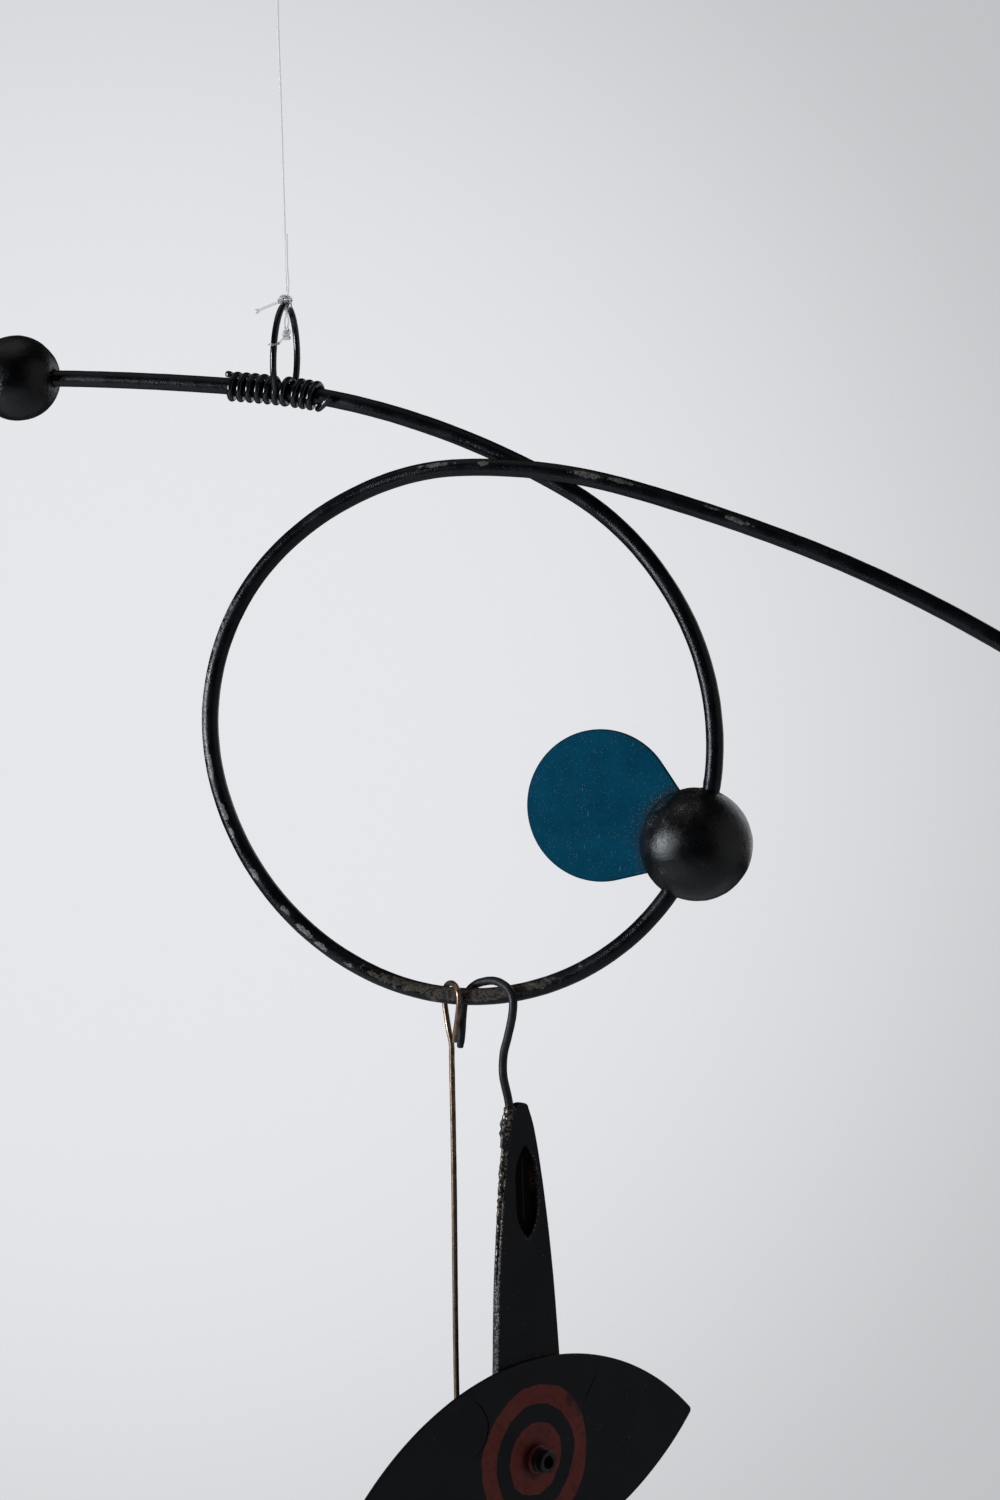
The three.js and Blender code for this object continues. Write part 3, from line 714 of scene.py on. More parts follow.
def petal_finish(colours):
    paint = colours.petal_paint
    finish = Finish("petal_paint", paint, 0.55, specular=0.06)
    broad = finish.noise(0.016, 5, 0.6)
    tone = finish.blend(finish.range(broad, 0.35, 0.68), scaled(paint, 0.88), scaled(paint, 1.12))
    edge = finish.attribute("edge")
    tone = finish.blend(finish.range(edge, 0.35, 1.0), tone, scaled(paint, 0.3))
    near_ball = finish.attribute("overspray")
    grit = finish.math("ADD", near_ball, finish.uneven(2.4, 0.0012, 5, 0.8))
    tone = finish.blend(finish.times(finish.range(grit, 0.55, 1.2), 0.85), tone, OVERSPRAY)
    lint = finish.range(finish.cells(0.0014), 0.18, 0.1)
    crumbs = finish.range(finish.cells(0.00125), 0.2, 0.12)
    patchy = finish.range(finish.noise(0.006, 3), 0.46, 0.6)
    close = finish.range(near_ball, 0.05, 0.5)
    shown = finish.math("MAXIMUM", finish.times(lint, 0.5),
                        finish.times(crumbs, finish.math("MAXIMUM", finish.times(patchy, 0.5), close)))
    tone = finish.blend(shown, tone, LINT)
    for turn, seed in ((0.4, 3.0), (1.9, 11.0), (2.7, 17.0)):
        turned = finish.node("ShaderNodeMapping", {
            "Vector": finish.places, "Rotation": (0, turn, 0), "Scale": (1, 1, 0.2),
            "Location": (seed, seed, 0)}).outputs[0]
        hair = finish.cells(0.0024, places=turned)
        hairs = finish.times(finish.range(hair, 0.12, 0.07),
                            finish.range(finish.noise(0.005, 2, places=turned), 0.5, 0.58))
        tone = finish.blend(finish.times(hairs, 0.6), tone, LINT)
    rust = finish.times(finish.range(finish.cells(0.009), 0.06, 0.03), 0.8)
    tone = finish.blend(rust, tone, PETAL_RUST)
    finish.feed("Base Color", tone)
    finish.feed("Roughness", finish.range(broad, 0.3, 0.7, 0.48, 0.62))
    finish.bump(finish.noise(0.0005, 4, 0.6), 0.00004, 0.5)
    finish.bump(lint, 0.00005, 0.5)
    return finish.material


def plate_finish(name, colours, rings):
    """Matte charcoal. The plate has painted rings, and the blade a deep slot with painted shade inside and a
    painted highlight down its ridge, and a rusty seam. Worn bare edges also carry a painted highlight
    """
    paint = colours.plate_paint
    finish = Finish(name, paint, 0.5, specular=0.26)
    broad = finish.noise(0.02, 5, 0.6)
    tone = finish.blend(finish.range(broad, 0.35, 0.7), scaled(paint, 0.8), scaled(paint, 1.35))
    plane = finish.node("ShaderNodeUVMap", uv_map="plane").outputs[0]
    if rings:
        radius = finish.node("ShaderNodeVectorMath", {0: plane}, operation="LENGTH").outputs["Value"]
        wobble = finish.uneven(0.0042, 0.014, 3)
        fuzz = finish.uneven(0.0009, 0.0016, 4, 0.7)
        radius = finish.math("ADD", radius, finish.math("ADD", wobble, fuzz))
        inner, outer = BAND_RADII
        disc = finish.range(radius, DISC_RADIUS, DISC_RADIUS - RING_EDGE)
        band = finish.times(finish.range(radius, inner, inner + RING_EDGE),
                            finish.range(radius, outer, outer - RING_EDGE))
        streaks = finish.noise(0.004, 5, 0.65)
        thin = finish.range(streaks, 0.42, 0.66, 0.0, 0.42)
        red = finish.blend(thin, colours.ring_paint, scaled(colours.ring_paint, 0.3))
        # The red darkens towards the post
        darker_near_post = finish.times(finish.range(radius, 0.0105, 0.0065), 0.75)
        red = finish.blend(darker_near_post, red, scaled(colours.ring_paint, 0.12))
        smear = finish.times(finish.attribute("smear"), finish.range(streaks, 0.3, 0.55))
        painted = finish.times(finish.math("MAXIMUM", disc, band), finish.math("SUBTRACT", 1.0, smear))
        painted = finish.times(painted, finish.attribute("front"))
        tone = finish.blend(painted, tone, red)
        finish.bump(painted, 0.00006, 0.4)
    else:
        parts = finish.node("ShaderNodeSeparateXYZ", {"Vector": plane})
        across, up = parts.outputs["X"], parts.outputs["Y"]
        crown = finish.math("SUBTRACT", PLATE_HEIGHT / 2 + 0.0003, finish.times(
            finish.times(across, across), 0.5 / PLATE_ARC_RADIUS))
        seam = finish.math("ABSOLUTE", finish.math("SUBTRACT", up, crown))
        dashes = finish.range(finish.noise(0.0011, 4, 0.75), 0.5, 0.6)
        rusty = finish.times(finish.range(seam, 0.0008, 0.0003), dashes)
        tone = finish.blend(finish.times(rusty, 0.8), tone, SEAM_RUST)
        # Painted shade: the slot's inside is darkened nearly to black
        deep = finish.attribute("deep")
        tone = finish.blend(deep, tone, scaled(paint, 0.08))
        # Painted highlight: a lighter line down the ridge inside the slot
        beside = finish.math("ABSOLUTE", finish.math("SUBTRACT", across, SLOT_RIGHT + 0.0003))
        ridge_highlight = finish.range(beside, 0.00042, 0.0002)
        ridge_highlight = finish.times(ridge_highlight, finish.range(finish.math(
            "ABSOLUTE", finish.math("SUBTRACT", up, SLOT_HEIGHT)), 0.015, 0.012))
        tone = finish.blend(finish.times(finish.times(ridge_highlight, deep), 0.8), tone, SLOT_RIDGE_HIGHLIGHT)
        spot = finish.times(finish.attribute("spot"), finish.range(finish.noise(0.0012, 4), 0.4, 0.56))
        tone = finish.blend(spot, tone, SLOT_RUST)
    flecks = finish.range(finish.cells(0.0031), 0.1, 0.06)
    picked = finish.range(finish.noise(0.006, 2), 0.54, 0.6)
    tone = finish.blend(finish.times(flecks, picked), tone, PLATE_FLECK)
    # Bare edges: worn paint, and on the blade a painted highlight along the left edge and on the slot's
    # right lip
    scratch = finish.range(finish.noise(0.0009, 5, 0.75), 0.5, 0.6)
    sheen = finish.times(finish.attribute("rim"), scratch)
    tone = finish.blend(sheen, tone, BARE_EDGE_AND_HIGHLIGHT)
    finish.feed("Base Color", tone)
    matte = finish.range(broad, 0.3, 0.7, 0.42, 0.58)
    finish.feed("Roughness", matte if rings else finish.math("MAXIMUM", matte, finish.attribute("deep")))
    finish.bump(finish.noise(0.0006, 4, 0.6), 0.00004, 0.4)
    finish.bump(finish.noise(0.006, 3), 0.0002, 0.3)
    return finish.material


def metal_finish(name, base, roughness, light, dark, size=0.004, metallic=0.85):
    finish = Finish(name, base, roughness, metallic=metallic)
    broad = finish.noise(size, 6, 0.65, distortion=0.5)
    tone = finish.blend(finish.range(broad, 0.3, 0.72), scaled(base, dark), scaled(base, light))
    spots = finish.range(finish.noise(0.0007, 4, 0.7), 0.58, 0.7)
    tone = finish.blend(spots, tone, scaled(base, dark * 0.7))
    finish.feed("Base Color", tone)
    finish.feed("Roughness", finish.range(broad, 0.3, 0.7, roughness + 0.16, roughness - 0.06))
    finish.bump(finish.noise(0.0005, 5, 0.65), 0.00006, 0.6)
    return finish.material


def line_finish(colours):
    finish = Finish("clear_line", colours.line_tint, 0.08)
    finish.shader.inputs["Transmission Weight"].default_value = 0.86
    finish.shader.inputs["IOR"].default_value = 1.53
    finish.feed("Roughness", finish.range(finish.noise(0.0008, 3), 0.3, 0.7, 0.05, 0.2))
    return finish.material


def dress(piece, material):
    piece.data.materials.clear()
    piece.data.materials.append(material)
    return piece


# Pieces


class MakeStage(bpy.types.Operator):
    """Set the camera, the soft lights and a pale floor"""
    bl_idname = "mobile.make_stage"
    bl_label = "Stage"

    def execute(self, context):
        colours = context.scene.mobile_colours
        camera = bpy.data.cameras.new("view")
        camera.sensor_width = 36
        camera.lens = CAMERA_LENS
        camera.clip_start = 0.01
        seen = bpy.data.objects.new("view", camera)
        context.collection.objects.link(seen)
        yaw, roll = math.radians(CAMERA_YAW), math.radians(CAMERA_ROLL)
        ahead = Vector((-math.sin(yaw), math.cos(yaw), 0))
        right = Vector((math.cos(yaw), math.sin(yaw), 0))
        up = Vector((0, 0, 1))
        axes = (right * math.cos(roll) - up * math.sin(roll),
                right * math.sin(roll) + up * math.cos(roll), -ahead)
        turned = Matrix([tuple(axis) for axis in axes]).transposed().to_4x4()
        seen.matrix_world = Matrix.Translation(CAMERA_PLACE) @ turned
        context.scene.camera = seen

        for name, (aside, onward, above), size, power, tint in LAMPS:
            place = right * aside + ahead * onward + up * above
            lamp = bpy.data.lights.new(name, "AREA")
            lamp.shape = "RECTANGLE"
            lamp.size, lamp.size_y = size
            lamp.energy = power
            lamp.color = tint
            light = bpy.data.objects.new(name, lamp)
            context.collection.objects.link(light)
            light.location = STAGE_MIDDLE + place
            light.rotation_euler = (-place).to_track_quat("-Z", "Y").to_euler()

        world = bpy.data.worlds.new("surroundings")
        context.scene.world = world
        world.use_nodes = True
        tree = world.node_tree
        tree.nodes.clear()
        made = {kind: tree.nodes.new(f"ShaderNode{kind}") for kind in (
            "OutputWorld", "MixShader", "LightPath", "TexCoord", "VectorMath", "MapRange", "MixRGB", "Math")}
        made["Math"].operation = "MAXIMUM"
        wall, room = tree.nodes.new("ShaderNodeBackground"), tree.nodes.new("ShaderNodeBackground")
        glow = (ahead - right * 0.15).normalized()
        made["VectorMath"].operation = "DOT_PRODUCT"
        made["VectorMath"].inputs[1].default_value = glow
        made["MapRange"].interpolation_type = "SMOOTHSTEP"
        made["MapRange"].inputs["From Min"].default_value = 0.9
        made["MapRange"].inputs["From Max"].default_value = 1.0
        made["MixRGB"].inputs[1].default_value = (*scaled(colours.backdrop, 0.68), 1)
        made["MixRGB"].inputs[2].default_value = (*colours.backdrop, 1)
        room.inputs["Color"].default_value = (*colours.backdrop, 1)
        room.inputs["Strength"].default_value = ROOM_STRENGTH
        for source, target in (
            (made["TexCoord"].outputs["Generated"], made["VectorMath"].inputs[0]),
            (made["VectorMath"].outputs["Value"], made["MapRange"].inputs["Value"]),
            (made["MapRange"].outputs[0], made["MixRGB"].inputs[0]),
            (made["MixRGB"].outputs[0], wall.inputs["Color"]),
            (made["LightPath"].outputs["Is Camera Ray"], made["Math"].inputs[0]),
            (made["LightPath"].outputs["Is Transmission Ray"], made["Math"].inputs[1]),
            (made["Math"].outputs[0], made["MixShader"].inputs[0]),
            (room.outputs[0], made["MixShader"].inputs[1]),
            (wall.outputs[0], made["MixShader"].inputs[2]),
            (made["MixShader"].outputs[0], made["OutputWorld"].inputs["Surface"]),
        ):
            tree.links.new(source, target)
        context.scene.view_settings.view_transform = "Standard"

        rim = [(STAGE_MIDDLE.x + x, y, FLOOR_HEIGHT) for x, y in circle(FLOOR_RADIUS, 96)]
        floor = shaped("floor", rim, [tuple(range(len(rim)))])
        finish = Finish("floor_paint", colours.floor, 0.85)
        finish.bump(finish.noise(0.02, 3), 0.0004, 0.2)
        dress(floor, finish.material)
        return {"FINISHED"}


class MakeLine(bpy.types.Operator):
    """Make the clear hanging line, its top loop and its knot on the eye"""
    bl_idname = "mobile.make_line"
    bl_label = "Hanging line"

    def execute(self, context):
        sizes, colours, rod = given(context)
        clear = line_finish(colours)
        strand = sizes.line_diameter / 2
        route = through(LINE_ROUTE, 0.001)
        line = placed(dress(swept("clear_line", route, strand, 16), clear), "clear_line", "hanging_line")

        half = (LOOP_HEIGHT - strand) / 2
        turns = np.linspace(-math.pi / 2, 1.5 * math.pi, 90)
        narrow = 0.55 + 0.45 * (np.sin(turns) + 1) / 2
        loop = np.column_stack([LOOP_WIDTH / 2 * np.cos(turns) * narrow, 0.0009 * np.sin(turns / 2 + 0.8),
                                -strand - half + half * np.sin(turns) - 0.00006])
        knot = Vector((0, 0, -LOOP_HEIGHT))
        top = self.bundle("line_loop_knot", [loop, self.tangle(knot, 0.00135, 3.6, 0.0026)], strand)
        placed(dress(top, clear), "clear_line", "line_top_loop")

        reach = sizes.eye_wire_diameter / 2 + strand + 0.0001
        wraps = []
        for start, lean in ((0, -0.0006), (1, 0.0005)):
            angles = np.linspace(0, 2 * math.pi, 48)
            wraps.append(np.column_stack([
                EYE_TOP.x + reach * np.sin(angles), EYE_TOP.y + lean + 0.0004 * np.cos(angles + start),
                EYE_TOP.z + reach * np.cos(angles)]))
        middle = EYE_TOP + Vector((-0.0002, -0.0014, reach - 0.0001))
        ties = [self.tangle(middle, 0.0014, 2.6, 0.0026)]
        for turn, tilt, size in KNOT_LOOPS:
            spin = Matrix.Rotation(turn, 3, "Z") @ Matrix.Rotation(tilt, 3, "X")
            ring = [Vector((size * math.cos(a), size * 0.8 * math.sin(a), 0.0005 * math.sin(2 * a)))
                    for a in np.linspace(0, 2 * math.pi, 40)]
            ties.append(rows(middle + spin @ point for point in ring))
        second = through([moved(middle, 0.0008, 0, 0), moved(middle, 0.0017, 0.0003, 0.006),
                          moved(middle, 0.0012, 0.0004, 0.015),
                          moved(Vector(LINE_ROUTE[-2]), 0.0009, 0, 0)], 0.001)
        tail = np.linspace(middle, middle + CUT_TAIL, 36)
        tail[:, 2] += 0.0003 * np.sin(np.linspace(0, math.pi, 36))
        melted = strand * (1.3 + 1.2 * smooth_step(np.linspace(0, 1, len(tail)), 0.88, 0.97))
        coil = sizes.rod_diameter / 2 + GAP * 0.4 + sizes.eye_wire_diameter / 2
        bunch = moved(EYE_TOP, 0.0006, -0.002, -0.0142)
        inner = through([moved(EYE_TOP, 0, -0.0016, -0.0018), moved(EYE_TOP, 0.0014, -0.0018, -0.0075),
                         bunch], 0.0006)
        other = through([moved(EYE_TOP, 0.0008, -0.0014, -0.0018), moved(EYE_TOP, -0.0002, -0.002, -0.0085),
                         bunch], 0.0006)
        leg = hoop_point(rod, coil, LEG_TURN_SHARE)
        wide = reach + 0.0002
        around_leg = rows(moved(leg, wide * math.cos(a), wide * math.sin(a), 0.0006 * math.sin(a))
                          for a in np.linspace(0, 2 * math.pi, 40))
        link = through([bunch, moved((bunch + leg) / 2, 0, 0, -0.001), moved(leg, reach, 0, 0)], 0.0005)
        knots = [self.tangle(bunch, 0.0012, 3.2, 0.0044),
                 self.tangle(moved(bunch, 0, 0.0004, 0.0006), 0.0016, 1.4, 0.0052)]
        strands = [*wraps, *ties, second, inner, other, around_leg, link, *knots]
        knotted = self.bundle("line_eye_knot", strands, strand, [(tail, melted)])
        placed(dress(knotted, clear), "clear_line", "line_knot")
        [tuple(p) for p in route[::-1]]
        return {"FINISHED"}

    @staticmethod
    def tangle(middle, radius, turns, height):
        angles = np.linspace(0, 2 * math.pi * turns, int(26 * turns))
        share = angles / angles[-1]
        swell = radius * (0.75 + 0.35 * np.sin(math.pi * share))
        return np.column_stack([
            middle.x + swell * np.cos(angles), middle.y + swell * np.sin(angles),
            middle.z - height / 2 + height * share + 0.0004 * np.sin(angles * 1.7)])

    @staticmethod
    def bundle(name, strands, radius, shaped_strands=()):
        jobs = [(strand, radius) for strand in strands] + list(shaped_strands)
        return merged(name, [swept(f"{name}_{i}", line, size, 12) for i, (line, size) in enumerate(jobs)])


def merged(name, pieces):
    whole = bmesh.new()
    for piece in pieces:
        whole.from_mesh(piece.data)
        bpy.data.objects.remove(piece)
    mesh = bpy.data.meshes.new(name)
    whole.to_mesh(mesh)
    whole.free()
    mesh.set_sharp_from_angle(angle=math.radians(50))
    piece = bpy.data.objects.new(name, mesh)
    bpy.context.collection.objects.link(piece)
    return piece


class MakeRod(bpy.types.Operator):
    """Make the bent rod with its worn paint"""
    bl_idname = "mobile.make_rod"
    bl_label = "Bent rod"

    def execute(self, context):
        sizes, colours, rod = given(context)
        stations, line = rod.line(0, rod.total, 0.0014)
        sides = 32
        over = frames(line, (0, -1, 0))[2]

        def brushed(points):
            lumps = grain(points, 0.009, 0.00012) + grain(points, 0.0018, 0.00004, seed=2)
            return lumps - self.sag(points, rod.at(rod.ring_ball)[0], sizes.ring_ball_diameter / 2)

        piece = swept("bent_rod", line, sizes.rod_diameter / 2, sides, bevel=0.0006, relief=brushed)
        stations = np.concatenate([stations[:1], stations[:1], stations[1:-1], stations[-1:], stations[-1:]])
        angles = np.degrees(np.arange(sides) * 2 * math.pi / sides)

        def patch(station, half, around, spread, strength):
            apart = np.abs((angles - sign * around + 180) % 360 - 180) / spread
            away = np.hypot(((stations - station) / half)[:, None], apart[None, :])
            return strength * (1 - smooth_step(away, 0.3, 1.7))

        # Sideways is the front, and a quarter turn on is the ring's outer side
        sign = 1 if over[0][2] > 0 else -1
        wear = patch(*ROD_RUBBED)
        rubbed = np.maximum(wear, np.where(stations > 1.1, 0.32, 0)[:, None])
        for station, half, around, spread, strength in ROD_WEAR:
            wear = np.maximum(wear, patch(station, half, around, spread, strength))
        mark(piece, "wear", wear.ravel())
        mark(piece, "rubbed", rubbed.ravel())
        placed(dress(piece, rod_finish(colours)), "rod_paint", "rod")
        return {"FINISHED"}

    @staticmethod
    def sag(points, ball, radius):
        """Paint that has gathered on the rod where it enters the ball from above"""
        away = np.linalg.norm(points - np.array(tuple(ball)), axis=1) - radius
        near = (1 - smooth_step(np.abs(away - 0.0012), 0, 0.004)) * (points[:, 2] > ball.z)
        return near * (0.0004 + grain(points, 0.0028, 0.0009, 2, 4))


def hoop_point(rod, reach, share):
    """A point on the hoop that stands across the rod, from its front foot to its back foot"""
    low = math.acos(2 * reach / HOOP_WIDTH)
    half = HOOP_HEIGHT / (1 + math.sin(low))
    angle = math.pi + low - (math.pi + 2 * low) * share
    leg = FRONT_LEG_PLACE if share < 0.5 else BACK_LEG_PLACE
    lean = leg + (HOOP_LEAN - leg) * math.sin(math.pi * share)
    place = rod.at(rod.eye + lean)[0]
    return place + Vector((0, HOOP_WIDTH / 2 * math.cos(angle), HOOP_HEIGHT - half + half * math.sin(angle)))


class MakeEyeWire(bpy.types.Operator):
    """Wind the eye wire round the rod, with its hoop"""
    bl_idname = "mobile.make_eye_wire"
    bl_label = "Eye wire"

    def execute(self, context):
        sizes, colours, rod = given(context)
        reach = sizes.rod_diameter / 2 + GAP * 0.4 + sizes.eye_wire_diameter / 2

        def around(along, turn):
            place, up, _ = rod.at(rod.eye + along)
            angle = 2 * math.pi * turn
            return place + up * reach * math.sin(angle) + Vector((0, -reach * math.cos(angle), 0))

        def coil(turns, places):
            steps = math.ceil((turns[1] - turns[0]) * 36)
            return [around(places[0] + (places[1] - places[0]) * i / steps,
                           turns[0] + (turns[1] - turns[0]) * i / steps) for i in range(steps + 1)]

        long_turns, long_pitch = LONG_COIL
        short_turns, short_pitch = SHORT_COIL
        points = coil((-long_turns, 0), (FRONT_LEG_PLACE - long_pitch * long_turns, FRONT_LEG_PLACE))
        points += [hoop_point(rod, reach, i / 64) for i in range(1, 64)]
        on = CROSS_PLACE + long_pitch
        points += coil((0.5, 0.75), (BACK_LEG_PLACE, CROSS_PLACE))
        points += coil((0.75, 1.25), (CROSS_PLACE, CROSS_PLACE + CROSS_LEAN))[1:]
        points += coil((1.25, 1.5), (CROSS_PLACE + CROSS_LEAN, on))[1:]
        last = 1.5 + short_turns
        points += coil((1.5, last), (on, on + short_pitch * short_turns))[1:]
        points += coil((last, last + TAIL_TURNS),
                       (on + short_pitch * short_turns, on + short_pitch * short_turns + TAIL_REACH))[1:]
        line = softened(even([tuple(p) for p in points], 0.0008), 3)
        piece = swept("eye_wire_coil", line, sizes.eye_wire_diameter / 2, 20, first=(0, 0, 1), bevel=0.0002,
                      relief=lambda points: grain(points, 0.004, 0.00006))
        finish, tone = brushed_paint("wire_paint", colours.wire_paint, 0.16, 0.0011, 0.3, 0.8, 0.12, 0.12)
        rough = finish.times(finish.attribute("rough"), finish.range(finish.noise(0.0014, 4), 0.4, 0.6))
        finish.feed("Base Color", finish.blend(rough, tone, ROUGH_FOOT))
        legs = np.array([tuple(v.co) for v in piece.data.vertices])
        foot = Vector(around(BACK_LEG_PLACE, 0.5))
        near = 1 - smooth_step(np.linalg.norm(legs - np.array(tuple(foot)), axis=1), 0.002, 0.008)
        mark(piece, "rough", near)
        placed(dress(piece, finish.material), "wire_paint", "eye_wire")
        return {"FINISHED"}


def softened(line, rounds):
    line = np.asarray(line, float).copy()
    for _ in range(rounds):
        line[1:-1] = line[1:-1] * 0.5 + (line[:-2] + line[2:]) * 0.25
    return line


class MakeBalls(bpy.types.Operator):
    """Make the drilled balls on the rod and on the pendant"""
    bl_idname = "mobile.make_balls"
    bl_label = "Balls"

    def execute(self, context):
        sizes, colours, rod = given(context)
        bore = sizes.rod_diameter / 2 + 0.0001
        jobs = (
            ("counterweight_ball_painted", "counterweight_ball", sizes.counterweight_diameter, ROD_END_INSET,
             (False, True), "counterweight_iron"),
            ("small_ball_painted", "small_ball", sizes.small_ball_diameter, COUNTER_ARM[0], (True, True),
             "ball_paint"),
            ("ring_ball_painted", "ring_ball", sizes.ring_ball_diameter, rod.ring_ball, (True, True),
             "ball_paint"),
            ("end_ball_painted", "end_ball", sizes.end_ball_diameter, rod.total - ROD_END_INSET,
             (True, False), "ball_paint"),
        )
        for seed, (name, node, diameter, station, exits, slot) in enumerate(jobs):
            place, _, heading = rod.at(station)
            ahead = Vector((math.cos(heading), 0, math.sin(heading)))

            def bend(along, rod=rod, station=station, place=place, ahead=ahead):
                stop = min(max(station + along, 0), rod.total)
                return np.array(tuple(rod.at(stop)[0] - place - ahead * (stop - station)))

            piece = drilled_ball(name, diameter / 2, place, ahead, bore, exits, bend, seed + 1.0)
            placed(dress(piece, ball_finish(f"{node}_paint", colours)), slot, node)
        hung = rod.at(rod.bottom + PENDANT_FROM_BOTTOM)[0]
        place = in_plane(hung, PENDANT_TURN, -PENDANT_SHANK, -PENDANT_LENGTH + ROD_END_INSET)
        narrow = sizes.pendant_wire_diameter / 2 + 0.0001
        piece = drilled_ball("pendant_ball_painted", sizes.pendant_ball_diameter / 2, place,
                             Vector((0, 0, 1)), narrow, (False, True), None, 9.0)
        placed(dress(piece, ball_finish("pendant_ball_paint", colours)), "ball_paint", "pendant_ball")
        return {"FINISHED"}


def drilled_ball(name, radius, place, ahead, bore, exits, bend, seed):
    """A ball round the rod's own bend, with a worn lip at each exit. exits: behind, ahead"""
    sides, rows = 112, 72
    lip = 0.0007
    low = math.asin((bore + lip) / radius)
    profile = []
    start, end = (low if exits[1] else 0.0), math.pi - (low if exits[0] else 0.0)
    deep = radius * 0.35
    edge = radius * math.cos(low)
    if exits[1]:
        profile += [(edge - deep, bore), (edge - 0.001, bore), (edge - 0.0004, bore + 0.00008),
                    (edge - 0.0001, bore + 0.0003)]
    for i in range(rows + 1):
        angle = start + (end - start) * i / rows
        profile.append((radius * math.cos(angle), max(radius * math.sin(angle), 1e-6)))
    if exits[0]:
        profile += [(-edge + 0.0001, bore + 0.0003), (-edge + 0.0004, bore + 0.00008), (-edge + 0.001, bore),
                    (-edge + deep, bore)]
    axis = np.array(tuple(ahead))
    side = unit(np.cross(axis, (0, 1, 0)))
    over = np.cross(axis, side)
    points = []
    for along, out in profile:
        for j in range(sides):
            angle = 2 * math.pi * j / sides
            outward = side * math.cos(angle) + over * math.sin(angle)
            points.append(axis * along + outward * out)
    points = np.array(points)
    along = points @ axis
    out = np.linalg.norm(points - along[:, None] * axis, axis=1)
    if bend is not None:
        weight = 1 - smooth_step(out, bore * 1.25, bore * 2.6)
        shift = np.array([bend(a) for a in along])
        on_skin = np.abs(np.linalg.norm(points, axis=1) - radius) < 1e-5
        points = points + shift * weight[:, None]
        points[on_skin] = unit(points[on_skin]) * radius
    centre = np.array(tuple(place))
    outward = unit(points)
    skin = smooth_step(out, bore + 0.0001, bore + 0.0012)
    lumps = grain(points + centre, 0.011, 0.0004, 3, seed)
    lumps += grain(points + centre, 0.0032, 0.00012, 3, seed + 4)
    points = points + outward * (lumps * skin)[:, None]
    flats = smooth_step(np.abs(along), edge - 0.0012, edge)
    flats *= smooth_step(-out, -(bore + 0.003), -(bore + 0.0005))
    rough = np.array([noise.noise(Vector(p) * 900) for p in points])
    points = points + outward * (flats * rough * 0.0004 - flats * 0.0002)[:, None]
    spot = unit(BALL_NICK_PLACE)
    scar = (1 - smooth_step(np.arccos(np.clip(outward @ spot, -1, 1)), 0.03, 0.09)) + flats * 0.35
    piece = shaped(name, points + centre, strips(len(profile), sides))
    mesh = bmesh.new()
    mesh.from_mesh(piece.data)
    bmesh.ops.recalc_face_normals(mesh, faces=mesh.faces)
    mesh.to_mesh(piece.data)
    mesh.free()
    mark(piece, "scar", np.clip(scar, 0, 1))
    return piece


class MakePetal(bpy.types.Operator):
    """Make the teal petal in the ring ball's saw cut"""
    bl_idname = "mobile.make_petal"
    bl_label = "Petal"

    def execute(self, context):
        sizes, colours, rod = given(context)
        point = math.acos(PETAL_RADIUS / PETAL_POINT)
        seat = PETAL_REACH - PETAL_SEAT
        half = (PETAL_POINT - seat) * PETAL_RADIUS / math.sqrt(PETAL_POINT ** 2 - PETAL_RADIUS ** 2)
        arc = np.linspace(point, 2 * math.pi - point, 150)
        outline = [(seat, half * (1 - 2 * i / 12)) for i in range(12, -1, -1)]
        tip = np.array([PETAL_RADIUS * math.cos(point), PETAL_RADIUS * math.sin(point)])
        flank = [tuple(np.array((seat, half)) * (1 - t) + tip * t) for t in np.linspace(0, 1, 14)[1:-1]]
        round_part = [(PETAL_RADIUS * math.cos(a), PETAL_RADIUS * math.sin(a)) for a in arc]
        mirror = [(x, -y) for x, y in reversed(flank)]
        loop = np.array(outline + flank + round_part + mirror)
        thickness = sizes.petal_thickness
        rounding = thickness * 0.45
        sheet = Sheet()
        profile = rounded(rounding, thickness, -thickness / 2)
        sheet.walls(loop, profile)
        for depth, back in ((-thickness / 2, False), (thickness / 2, True)):
            sheet.face(inset(loop, rounding), [], depth, 0.0016, back, [inset(loop, rounding + 0.0004)])
        middle = rod.at(rod.ring_ball)[0]
        turned = Matrix.Rotation(math.radians(180 - PETAL_AIM), 4, "Y")
        matrix = Matrix.Translation((middle.x, 0, middle.z)) @ turned
        matrix = matrix @ Matrix.Translation((-PETAL_REACH, 0, 0))
        piece, local = sheet.made("petal_disc", matrix=matrix,
                                  relief=lambda p: grain(p * (1, 0, 1), 0.022, 0.0004) + 0.0002)
        flat = local[:, [0, 2]]
        rim = loop[loop[:, 0] < seat - 0.0005]
        from_edge = np.array([np.min(np.hypot(*(rim - spot).T)) for spot in flat])
        mark(piece, "edge", 1 - smooth_step(from_edge, 0.0, 0.0016))
        from_ball = np.hypot(local[:, 0] - PETAL_REACH, local[:, 2]) - sizes.ring_ball_diameter / 2
        mark(piece, "overspray", 1 - smooth_step(from_ball, -0.002, 0.0105))
        placed(dress(piece, petal_finish(colours)), "petal_paint", "petal")
        return {"FINISHED"}


